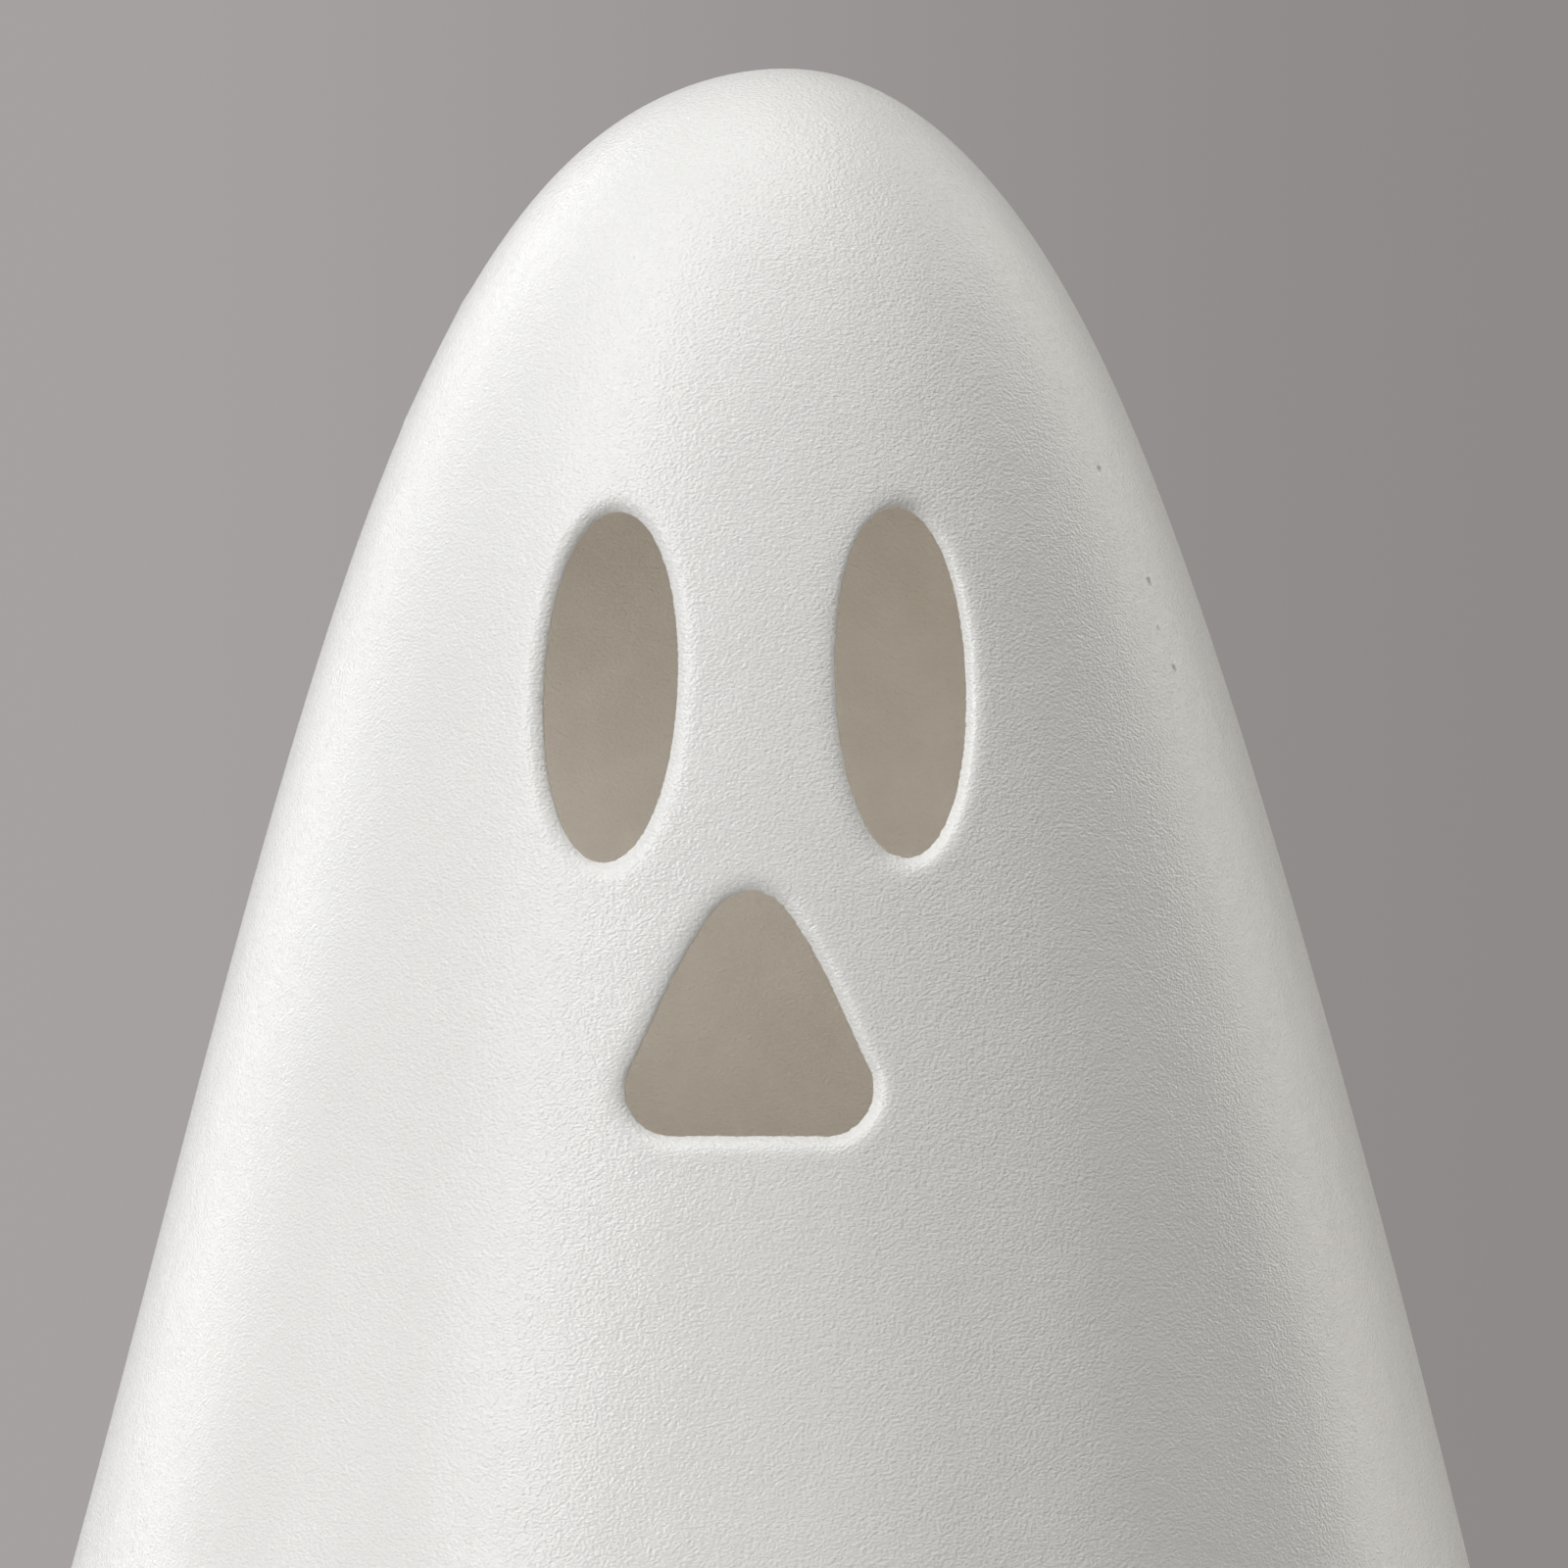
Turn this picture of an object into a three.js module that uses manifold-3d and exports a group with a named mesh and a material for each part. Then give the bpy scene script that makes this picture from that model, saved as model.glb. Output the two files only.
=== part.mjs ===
// A ghost-shaped tealight holder: a slip-cast ceramic shell draped like a sheet, with two eyes, a mouth and
// an arch at the back for the candle, four rubber pads under its foot, and the tealight on its floor.
// Millimetres, +Z up. The face looks along -Y. The origin is on the table, under the middle of the base.

import * as THREE from "three";
import { mergeVertices } from "three/addons/utils/BufferGeometryUtils.js";
import Module from "manifold-3d";

const wasm = await Module();
wasm.setup();

// The sheet, from its crown to its hem
const HEIGHT = 140; // table to crown
const HEM_RADIUS = 56.2; // mean radius at the foot
const FLARE = 4.4; // how much of that the sheet gains by kicking out towards its hem
const CROWN_RADIUS = 15.9; // how round the very top is
const CROWN_BLEND = 28.9; // depth over which the round top eases into the drape
const FOLDS = 10; // short even folds, an even number, so that front, back and sides are alike
const FOLD_DEPTH = 1.2; // mean sheet to ridge, at the hem
const FOLD_GROWTH = 6; // power of the depth below the crown with which they deepen
const GROOVE_GROWTH = 2.7; // the same for the long grooves
const GROOVES = [
  { angle: -37, depth: 1.6, spread: 7 }, // degrees from the face, mm deep at the hem, degrees either side
  { angle: 44, depth: 1.9, spread: 12 },
  { angle: 116, depth: 1.7, spread: 10 },
  { angle: 147, depth: 1.5, spread: 8 },
  { angle: -121, depth: 1.8, spread: 11 },
  { angle: -149, depth: 1.4, spread: 8 },
];
const WALL = 3;
const HEM_ROUND = 2;

// The face: openings as they look from straight in front, hung from the crown
const EYE_HEIGHT = 23;
const EYE_WIDTH = 8.8;
const EYE_SPACING = 19.2; // centre to centre
const EYE_DROP = 41.6; // crown to eye centre
const EYE_LEAN = THREE.MathUtils.degToRad(2.1); // the feet of the eyes lean apart
const MOUTH_HEIGHT = 16.1;
const MOUTH_WIDTH = 16.3;
const MOUTH_DROP = 71.3; // crown to the mouth's lower edge
const MOUTH_TOP_ROUND = 3.3;
const MOUTH_CORNER_ROUND = 3;
const RIM_ROUND = 1.4; // radius of each opening's outer edge

// The arch at the back
const ARCH_HEIGHT = 50; // sill to crown of the arch
const ARCH_CORNER_ROUND = 4;
const ARCH_CLEARANCE = 6; // beside the tealight, on each side
const SILL_CLEARANCE = 0.3; // under the tealight as it slides out

// The foot
const PAD_RADIUS = 4.5;
const PAD_THICKNESS = 1.5;
const PAD_BEVEL = 0.3;
const PAD_MARGIN = 1; // foot ring left bare beside a pad
const RECESS_DEPTH = 2; // underside inside the foot ring
const RECESS_DRAFT = 1; // how far the recess narrows over its depth

// The tealight
const CUP_HEIGHT = 16;
const CUP_RADIUS = 18.5; // outside, under the rim
const CUP_TAPER = 0.5; // how much less the radius is at the base
const CUP_WALL = 0.25;
const CUP_BASE_ROUND = 1.2;
const CUP_RIM = 0.5; // radius of the curled rim
const WAX_BELOW_RIM = 2.5;
const WAX_MENISCUS = 0.6; // how far the wax climbs the cup and the wick
const WICK_RADIUS = 0.8;
const WICK_FREE_LENGTH = 9; // above the wax
const WICK_BEND = 1.4; // how far its free end leans over
const SUSTAINER_RADIUS = 6.5;
const SUSTAINER_SHEET = 0.3;
const SUSTAINER_NECK = 4.5; // height of the crimped neck above its disc
const POUR_GAP = 0.12; // hairline between the cast wax and what it was poured round
const CRIMP_GAP = 0.1; // hairline between the wick and its neck

// Fineness of the facets
const DRAPE_SEGMENTS = FOLDS * 8;
const DRAPE_ROWS = 20;
const CAVITY_SEGMENTS = FOLDS * 6;
const CAVITY_ROWS = 12;
const HEM_STEPS = 3;
const RIM_STEPS = 4;
const FACE_POINTS = 40; // round an eye or the mouth
const ARCH_POINTS = 64;
const TURN_SEGMENTS = 40;
const PAD_SEGMENTS = 24;
const WICK_SIDES = 8;
const WICK_STEPS = 14;

// Levels and radii that follow from the sizes above
const footLevel = PAD_THICKNESS;
const drapeDepth = HEIGHT - footLevel;
const moatLevel = footLevel + WALL;
const floorLevel = moatLevel + RECESS_DEPTH;
const deepestGroove = Math.max(...GROOVES.map(({ depth }) => depth));
const footEdge = HEM_RADIUS - FOLD_DEPTH - deepestGroove - HEM_ROUND;
const footRingWidth = 2 * (PAD_RADIUS + PAD_MARGIN);
const recessRadius = footEdge - footRingWidth;
const outside = HEM_RADIUS + 2 * FOLD_DEPTH + WALL; // clear of the sheet all round
const archWidth = 2 * (CUP_RADIUS + CUP_RIM + ARCH_CLEARANCE);
const overcut = 0.5; // how far a cutter runs past what it cuts

const ceramic = { color: 0xe8e7e4, roughness: 0.85, metalness: 0 };
const rubber = { color: 0xb4b1aa, roughness: 0.7, metalness: 0 };
const aluminium = { color: 0xc9cbcd, roughness: 0.35, metalness: 1 };
const paraffin = { color: 0xf1ecdd, roughness: 0.5, metalness: 0 };
const tinplate = { color: 0xb5b5b2, roughness: 0.4, metalness: 1 };
const cotton = { color: 0xe4dccb, roughness: 0.95, metalness: 0 };

// Radius of the sheet at an angle from the face and a depth below the crown: a parabola carries the drape,
// a second term, which dies away below the crown, blunts its tip, and flare, folds and grooves grow
// towards the hem.
function drapeRadius(angle, depth) {
  const spread = (HEM_RADIUS - FLARE) ** 2 / drapeDepth;
  const blunt = (2 * CROWN_RADIUS - spread) * Math.exp(-depth / CROWN_BLEND);
  const share = depth / drapeDepth;
  const degrees = THREE.MathUtils.radToDeg(angle);
  let radius = Math.sqrt(depth * (spread + blunt)) + FLARE * share ** 2;
  radius -= FOLD_DEPTH * share ** FOLD_GROWTH * Math.cos(FOLDS * angle);
  for (const groove of GROOVES) {
    const away = THREE.MathUtils.euclideanModulo(degrees - groove.angle + 180, 360) - 180;
    radius -= groove.depth * share ** GROOVE_GROWTH * Math.exp(-((away / groove.spread) ** 2));
  }
  return radius;
}

function aroundAxis(radius, angle, height) {
  return new THREE.Vector3(radius * Math.sin(angle), -radius * Math.cos(angle), height);
}

// A point of the sheet. Its share is 0 at the crown and 1 at the foot, and runs with the square root of the
// depth, so that equal steps of it are short where the crown is round.
function drapePoint(angle, share) {
  const depth = drapeDepth * share ** 2;
  return aroundAxis(drapeRadius(angle, depth), angle, HEIGHT - depth);
}

// The same point, moved into the wall along the sheet's normal.
function wallPoint(angle, share, into) {
  const step = 1e-3;
  const across = drapePoint(angle + step, share).sub(drapePoint(angle - step, share));
  const down = drapePoint(angle, share + step).sub(drapePoint(angle, share - step));
  const inwards = across.cross(down).normalize();
  return drapePoint(angle, share).addScaledVector(inwards, into);
}

// The angle at which the sheet stands over x and z, on the face's side or at the back.
function angleAt(x, z, atBack) {
  let angle = atBack ? Math.PI : 0;
  for (let round = 0; round < 8; round++) {
    const turn = Math.asin(x / drapeRadius(angle, HEIGHT - z));
    angle = atBack ? Math.PI - turn : turn;
  }
  return angle;
}

function fullTurn(segments) {
  return Array.from({ length: segments }, (_, k) => (2 * Math.PI * k) / segments);
}

function middle(points) {
  return points.reduce((sum, point) => sum.add(point), new THREE.Vector3()).divideScalar(points.length);
}

// A closed geometry through rings of as many points each, shut by a fan to a centre at either end.
function loft(rings, firstCentre = middle(rings[0]), lastCentre = middle(rings.at(-1))) {
  const count = rings[0].length;
  const lastRow = (rings.length - 1) * count;
  const firstHub = rings.length * count;
  const lastHub = firstHub + 1;
  const index = [];
  for (let k = 0; k < count; k++) {
    const next = (k + 1) % count;
    index.push(firstHub, k, next, lastHub, lastRow + next, lastRow + k);
    for (let row = 0; row < lastRow; row += count) {
      const below = row + count;
      index.push(row + k, below + k, below + next, row + k, below + next, row + next);
    }
  }
  const points = [...rings.flat(), firstCentre, lastCentre];
  return new THREE.BufferGeometry().setFromPoints(points).setIndex(index);
}

// A geometry as a solid that can be joined and cut, its faces turned outwards whichever way it was made.
function solid(geometry) {
  const bare = geometry.clone();
  bare.deleteAttribute("normal");
  bare.deleteAttribute("uv");
  const merged = mergeVertices(bare, 1e-4);
  const vertProperties = merged.attributes.position.array;
  const triVerts = new Uint32Array(merged.index.array);
  const made = new wasm.Manifold(new wasm.Mesh({ numProp: 3, vertProperties, triVerts }));
  if (made.volume() > 0) return made;
  triVerts.reverse();
  return new wasm.Manifold(new wasm.Mesh({ numProp: 3, vertProperties, triVerts }));
}

function geometryOf(manifold) {
  const { vertProperties, triVerts } = manifold.getMesh();
  const geometry = new THREE.BufferGeometry();
  geometry.setAttribute("position", new THREE.BufferAttribute(vertProperties, 3));
  geometry.setIndex(new THREE.BufferAttribute(triVerts, 1));
  geometry.computeVertexNormals();
  return geometry;
}

// A profile of [radius, height] pairs, turned about the upright axis.
function turned(profile, segments = TURN_SEGMENTS) {
  const points = profile.map(([radius, height]) => new THREE.Vector2(radius, height));
  return new THREE.LatheGeometry(points, segments).rotateX(Math.PI / 2);
}

// The pairs along an arc about [radius, height], from one angle to another, in degrees.
function arc([radius, height], size, from, to, steps = 4) {
  return Array.from({ length: steps + 1 }, (_, k) => {
    const angle = THREE.MathUtils.degToRad(from + ((to - from) * k) / steps);
    return [radius + size * Math.cos(angle), height + size * Math.sin(angle)];
  });
}

// The sheet as if it were solid, down to its rounded hem.
function drapeBody() {
  const angles = fullTurn(DRAPE_SEGMENTS);
  const hemShare = Math.sqrt(1 - HEM_ROUND / drapeDepth);
  const rings = [];
  for (let row = 1; row <= DRAPE_ROWS; row++) {
    rings.push(angles.map((angle) => drapePoint(angle, (hemShare * row) / DRAPE_ROWS)));
  }
  for (let step = 1; step <= HEM_STEPS; step++) {
    const turn = (Math.PI / 2) * (step / HEM_STEPS);
    const height = footLevel + HEM_ROUND * (1 - Math.sin(turn));
    const draw = HEM_ROUND * (1 - Math.cos(turn));
    const ring = angles.map((angle) => aroundAxis(drapeRadius(angle, HEIGHT - height) - draw, angle, height));
    rings.push(ring);
  }
  return solid(loft(rings, new THREE.Vector3(0, 0, HEIGHT), new THREE.Vector3(0, 0, footLevel)));
}

// The hollow under the sheet, a wall's thickness in, down to a floor that the foot's recess raises.
function drapeCavity() {
  const angles = fullTurn(CAVITY_SEGMENTS);
  const rings = [];
  for (let row = 1; row <= CAVITY_ROWS; row++) {
    rings.push(angles.map((angle) => wallPoint(angle, row / CAVITY_ROWS, WALL)));
  }
  const hollow = solid(loft(rings, new THREE.Vector3(0, 0, HEIGHT - WALL)));
  const plateauRadius = recessRadius + WALL;
  const floor = turned([
    [0, -HEIGHT],
    [outside, -HEIGHT],
    [outside, moatLevel],
    [plateauRadius + RECESS_DRAFT, moatLevel],
    [plateauRadius, floorLevel],
    [0, floorLevel],
  ]);
  return hollow.subtract(solid(floor));
}

function footRecess() {
  return solid(
    turned([
      [0, footLevel - overcut],
      [recessRadius, footLevel - overcut],
      [recessRadius, footLevel],
      [recessRadius - RECESS_DRAFT, footLevel + RECESS_DEPTH],
      [0, footLevel + RECESS_DEPTH],
    ]),
  );
}

// The point at a depth in the wall that stands over x and z in the front view.
function depthPoint(x, z, atBack, into) {
  const aim = new THREE.Vector2(x, z);
  let found;
  for (let round = 0; round < 5; round++) {
    found = wallPoint(angleAt(aim.x, aim.y, atBack), Math.sqrt((HEIGHT - aim.y) / drapeDepth), into);
    aim.x += x - found.x;
    aim.y += z - found.z;
  }
  return found;
}

// A cutter that follows an outline, drawn in the front view, straight through the wall. It flares at the
// sheet, so that the opening's outer edge comes out rounded, and stands clear of the sheet outside.
function punch(outline, atBack = false) {
  const count = outline.length;
  const sideways = outline.map((_, k) => {
    const chord = outline[(k + 1) % count].clone().sub(outline[(k + count - 1) % count]);
    return new THREE.Vector2(chord.y, -chord.x).normalize();
  });
  const ringAt = (grow, into) =>
    outline.map((point, k) => {
      const { x, y: z } = point.clone().addScaledVector(sideways[k], grow);
      return depthPoint(x, z, atBack, into);
    });
  const flare = ringAt(RIM_ROUND + overcut, -overcut);
  const clear = flare.map(({ x, z }) => new THREE.Vector3(x, atBack ? outside : -outside, z));
  const rings = [clear, flare];
  for (let step = 1; step <= RIM_STEPS; step++) {
    const turn = (Math.PI / 2) * (step / RIM_STEPS);
    rings.push(ringAt(RIM_ROUND * (1 - Math.sin(turn)), RIM_ROUND * (1 - Math.cos(turn))));
  }
  rings.push(ringAt(0, WALL + overcut));
  return solid(loft(rings));
}

// Evenly spaced points once round a closed path.
function outlineOf(path, points) {
  path.closePath();
  return path.getSpacedPoints(points).slice(0, -1);
}

// Side is -1 for the eye at -X and 1 for the eye at +X.
function eyeOutline(side) {
  const path = new THREE.Path();
  const x = (side * EYE_SPACING) / 2;
  const z = HEIGHT - EYE_DROP;
  path.absellipse(x, z, EYE_WIDTH / 2, EYE_HEIGHT / 2, 0, 2 * Math.PI, false, side * EYE_LEAN);
  return outlineOf(path, FACE_POINTS);
}

// A triangle with round corners, its sides touching the top circle and the lower ones.
function mouthOutline() {
  const level = HEIGHT - MOUTH_DROP;
  const lower = new THREE.Vector2(MOUTH_WIDTH / 2 - MOUTH_CORNER_ROUND, level + MOUTH_CORNER_ROUND);
  const upper = new THREE.Vector2(0, level + MOUTH_HEIGHT - MOUTH_TOP_ROUND);
  const run = upper.clone().sub(lower);
  const touch = run.angle() - Math.acos((MOUTH_CORNER_ROUND - MOUTH_TOP_ROUND) / run.length());
  const path = new THREE.Path();
  path.absarc(lower.x, lower.y, MOUTH_CORNER_ROUND, -Math.PI / 2, touch);
  path.absarc(upper.x, upper.y, MOUTH_TOP_ROUND, touch, Math.PI - touch);
  path.absarc(-lower.x, lower.y, MOUTH_CORNER_ROUND, Math.PI - touch, (3 * Math.PI) / 2);
  return outlineOf(path, FACE_POINTS);
}

// Straight jambs under a half circle, wide enough for the tealight, with its sill just under the floor.
function archOutline() {
  const sill = floorLevel - SILL_CLEARANCE;
  const corner = archWidth / 2 - ARCH_CORNER_ROUND;
  const cornerLevel = sill + ARCH_CORNER_ROUND;
  const spring = sill + ARCH_HEIGHT - archWidth / 2;
  const path = new THREE.Path();
  path.absarc(corner, cornerLevel, ARCH_CORNER_ROUND, -Math.PI / 2, 0);
  path.absarc(0, spring, archWidth / 2, 0, Math.PI);
  path.absarc(-corner, cornerLevel, ARCH_CORNER_ROUND, Math.PI, (3 * Math.PI) / 2);
  return outlineOf(path, ARCH_POINTS);
}

function ghostShell() {
  const body = drapeBody().subtract(drapeCavity()).subtract(footRecess());
  const face = body.subtract(punch(eyeOutline(-1))).subtract(punch(eyeOutline(1)));
  return geometryOf(face.subtract(punch(mouthOutline())).subtract(punch(archOutline(), true)));
}

function footPad() {
  const profile = [
    [0, 0],
    [PAD_RADIUS - PAD_BEVEL, 0],
    [PAD_RADIUS, PAD_BEVEL],
    [PAD_RADIUS, PAD_THICKNESS - PAD_BEVEL],
    [PAD_RADIUS - PAD_BEVEL, PAD_THICKNESS],
    [0, PAD_THICKNESS],
  ];
  return turned(profile, PAD_SEGMENTS);
}

// Outer radius of the cup's wall at a height above its underside.
function cupRadius(height) {
  return CUP_RADIUS - CUP_TAPER * (1 - height / CUP_HEIGHT);
}

// Drawn from one sheet: a round-edged floor, a slightly tapered wall and a rim curled outwards.
function cup() {
  const rimLevel = CUP_HEIGHT - CUP_RIM;
  const outerBend = [cupRadius(CUP_BASE_ROUND) - CUP_BASE_ROUND, CUP_BASE_ROUND];
  return turned([
    [0, 0],
    ...arc(outerBend, CUP_BASE_ROUND, -90, 0),
    ...arc([CUP_RADIUS, rimLevel], CUP_RIM, -90, 90, 6),
    [CUP_RADIUS - CUP_WALL, rimLevel],
    ...arc(outerBend, CUP_BASE_ROUND - CUP_WALL, 0, -90),
    [0, CUP_WALL],
  ]);
}

// Cast in the cup round the wick and its sustainer. It climbs a little where it meets the cup and the wick.
function wax() {
  const top = CUP_HEIGHT - WAX_BELOW_RIM;
  const gap = CUP_WALL + POUR_GAP;
  const corner = cupRadius(CUP_BASE_ROUND) - CUP_BASE_ROUND;
  const wickHole = WICK_RADIUS + POUR_GAP;
  const neckHole = WICK_RADIUS + CRIMP_GAP + SUSTAINER_SHEET + POUR_GAP;
  const discHole = SUSTAINER_RADIUS + POUR_GAP;
  const neckTop = CUP_WALL + SUSTAINER_SHEET + SUSTAINER_NECK + POUR_GAP;
  const discTop = CUP_WALL + SUSTAINER_SHEET + POUR_GAP;
  const edge = cupRadius(top) - gap;
  return turned([
    [discHole, CUP_WALL],
    [corner, CUP_WALL],
    ...arc([corner, CUP_BASE_ROUND], CUP_BASE_ROUND - gap, -90, 0),
    ...arc([edge - WAX_MENISCUS, top + WAX_MENISCUS], WAX_MENISCUS, 0, -90),
    ...arc([wickHole + WAX_MENISCUS, top + WAX_MENISCUS], WAX_MENISCUS, -90, -180),
    [wickHole, neckTop],
    [neckHole, neckTop],
    [neckHole, discTop],
    [discHole, discTop],
    [discHole, CUP_WALL],
  ]);
}

// A round disc with a neck crimped on the wick, one thin sheet throughout.
function sustainer() {
  const bore = WICK_RADIUS + CRIMP_GAP;
  return turned([
    [bore, 0],
    [SUSTAINER_RADIUS, 0],
    [SUSTAINER_RADIUS, SUSTAINER_SHEET],
    [bore + SUSTAINER_SHEET, SUSTAINER_SHEET],
    [bore + SUSTAINER_SHEET, SUSTAINER_SHEET + SUSTAINER_NECK],
    [bore, SUSTAINER_SHEET + SUSTAINER_NECK],
    [bore, 0],
  ]);
}

// Straight up from the cup's floor through the wax, then leaning over to its free end.
function wick() {
  const outOfWax = CUP_HEIGHT - WAX_BELOW_RIM + WAX_MENISCUS;
  const end = outOfWax + WICK_FREE_LENGTH - WAX_MENISCUS;
  const path = new THREE.CurvePath();
  const leave = new THREE.Vector3(0, 0, outOfWax);
  path.add(new THREE.LineCurve3(new THREE.Vector3(0, 0, CUP_WALL), leave));
  const upright = new THREE.Vector3(0, 0, (outOfWax + end) / 2);
  path.add(new THREE.QuadraticBezierCurve3(leave, upright, new THREE.Vector3(WICK_BEND, 0, end)));
  const section = new THREE.Shape(
    fullTurn(WICK_SIDES).map((angle) => {
      return new THREE.Vector2(WICK_RADIUS * Math.cos(angle), WICK_RADIUS * Math.sin(angle));
    }),
  );
  return new THREE.ExtrudeGeometry(section, { steps: WICK_STEPS, extrudePath: path });
}

function piece(name, geometry, finish) {
  const mesh = new THREE.Mesh(geometry, new THREE.MeshStandardMaterial(finish));
  mesh.name = name;
  return mesh;
}

function ghost() {
  const group = new THREE.Group();
  group.add(piece("ghost_shell", ghostShell(), ceramic));
  const padCircle = footEdge - footRingWidth / 2;
  for (const [end, alongY] of [["front", -1], ["rear", 1]]) {
    for (const [side, alongX] of [["left", -1], ["right", 1]]) {
      const pad = piece(`foot_pad_${end}_${side}`, footPad(), rubber);
      pad.position.set(alongX * padCircle * Math.SQRT1_2, alongY * padCircle * Math.SQRT1_2, 0);
      group.add(pad);
    }
  }
  return group;
}

function tealight() {
  const group = new THREE.Group();
  group.position.z = floorLevel;
  const stand = piece("wick_sustainer", sustainer(), tinplate);
  stand.position.z = CUP_WALL;
  group.add(piece("tealight_cup", cup(), aluminium), piece("tealight_wax", wax(), paraffin));
  group.add(stand, piece("tealight_wick", wick(), cotton));
  return group;
}

const holder = new THREE.Group();
holder.add(ghost(), tealight());

export default holder;
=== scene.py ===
"""A ghost-shaped ceramic tealight holder and its tealight, dressed for a studio picture, in metres."""

import math

import bmesh
import bpy
import numpy as np
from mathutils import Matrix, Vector
from mathutils.geometry import delaunay_2d_cdt

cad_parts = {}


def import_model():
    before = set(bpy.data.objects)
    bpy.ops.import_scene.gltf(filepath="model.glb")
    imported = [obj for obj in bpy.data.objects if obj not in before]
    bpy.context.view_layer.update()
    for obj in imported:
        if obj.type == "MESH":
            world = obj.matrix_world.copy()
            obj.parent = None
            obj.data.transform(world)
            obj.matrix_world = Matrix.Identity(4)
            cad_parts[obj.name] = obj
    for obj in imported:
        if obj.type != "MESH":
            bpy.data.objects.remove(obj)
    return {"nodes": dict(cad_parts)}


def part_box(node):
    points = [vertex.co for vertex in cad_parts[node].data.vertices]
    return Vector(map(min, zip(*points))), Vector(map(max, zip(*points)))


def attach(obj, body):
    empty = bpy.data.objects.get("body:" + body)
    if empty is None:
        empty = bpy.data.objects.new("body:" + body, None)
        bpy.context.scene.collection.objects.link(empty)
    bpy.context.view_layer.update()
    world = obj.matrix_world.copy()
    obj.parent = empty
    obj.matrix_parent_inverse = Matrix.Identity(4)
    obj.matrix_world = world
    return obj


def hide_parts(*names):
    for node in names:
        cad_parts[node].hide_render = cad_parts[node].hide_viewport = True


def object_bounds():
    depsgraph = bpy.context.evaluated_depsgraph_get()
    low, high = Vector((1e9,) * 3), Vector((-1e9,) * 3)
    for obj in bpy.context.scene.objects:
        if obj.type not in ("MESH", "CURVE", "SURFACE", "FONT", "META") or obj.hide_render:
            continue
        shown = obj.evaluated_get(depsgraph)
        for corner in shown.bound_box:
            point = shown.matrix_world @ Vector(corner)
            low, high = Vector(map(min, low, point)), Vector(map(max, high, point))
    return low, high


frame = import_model()
cad_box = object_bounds()

MM = 0.001
TURN = 2 * math.pi
RIGHT_ANGLE = math.pi / 2
chance = np.random.default_rng(31)

# The sheet, as in the solids but for the first two grooves and the folds beside the second
HEIGHT = cad_box[1].z
FOOT_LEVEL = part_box("ghost_shell")[0].z
DRAPE_DEPTH = HEIGHT - FOOT_LEVEL
HEM_RADIUS = 56.2 * MM
FLARE = 4.4 * MM
CROWN_RADIUS = 15.9 * MM
CROWN_BLEND = 28.9 * MM
FOLDS = 10
FOLD_DEPTH = 1.2 * MM
FOLD_GROWTH = 6
GROOVE_GROWTH = 2.7
CALM_FROM_FACE = 22  # degrees round, where the folds are faintest
CALM_WIDTH = 26
GROOVES = [  # degrees round from the face, depth at the hem, degrees wide
    (-37, 2.3 * MM, 7.5),
    (22, 1.2 * MM, 9),
    (44, 1.9 * MM, 12),
    (116, 1.7 * MM, 10),
    (147, 1.5 * MM, 8),
    (-121, 1.8 * MM, 11),
    (-149, 1.4 * MM, 8),
]
WALL = 3 * MM
HEM_ROUND = 2 * MM
DEEPEST_GROOVE = 1.9 * MM  # of the solids, whose pads stand within it
FOOT_EDGE = HEM_RADIUS - FOLD_DEPTH - DEEPEST_GROOVE - HEM_ROUND

# What the hand left: the crown's tip stands a little to the right, and the drape wavers
CROWN_SHIFT = 0.9 * MM
CROWN_SHIFT_FADE = 2.5 * MM
SWAY = 0.17 * MM
SWAY_START = 0.03  # as shares of the depth
SWAY_LENGTH = 0.7
WAVER = 0.08 * MM
WAVES = [(2, 9), (3, -14)]  # how many go round, and by how much they twist on the way down

# The openings
EYE_HEIGHT = 23.3 * MM
EYE_LEVEL = HEIGHT - 41.5 * MM
EYES = {  # place sideways and upwards, width, lean in degrees, fullness of the oval where 2 is an ellipse
    -1: (-9.63 * MM, -0.1 * MM, 9.0 * MM, -2.1, 2.09),
    1: (9.6 * MM, 0.22 * MM, 8.57 * MM, 2.8, 2.11),
}
MOUTH_HEIGHT = 16.2 * MM
MOUTH_WIDTH = 16.4 * MM
MOUTH_SHIFT = -0.14 * MM
MOUTH_LEVEL = HEIGHT - 71.3 * MM
MOUTH_TOP_ROUND = 2.6 * MM
MOUTH_CORNER_ROUND = 3.05 * MM
MOUTH_BULGE = 0.135  # how much wider it is than between straight sides, most of all in its upper part
MOUTH_BULGE_RISE = 2.8
MOUTH_POINT_SPACING = 0.1 * MM
ARCH_HEIGHT = 50 * MM
ARCH_CORNER_ROUND = 4 * MM
ARCH_CLEARANCE = 6 * MM
SILL_CLEARANCE = 0.3 * MM
RIM_SPREAD = 2.2 * MM  # width over which an opening's outer edge rolls in
RIM_DIPS = (0.6 * MM, 0.9 * MM)  # how deep it does: above on the left, and below on the right
RIM_POWERS = (3.6, 4.6)
EDGE_ROUND = 0.25 * MM
EYE_CRISPNESS = {-1: (0.5, 0), 1: (-0.65, 0.5)}  # by how much less, to the right and upwards
MOUTH_CRISPNESS = (-0.3, 0.3)
INNER_RIM_ROUND = 0.5 * MM
RAGGEDNESS = 0.018 * MM
HOLLOW_FROM = 0.5  # depths in the wall, as shares, between which its finish turns into the hollow's
HOLLOW_TO = 0.9

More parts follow.
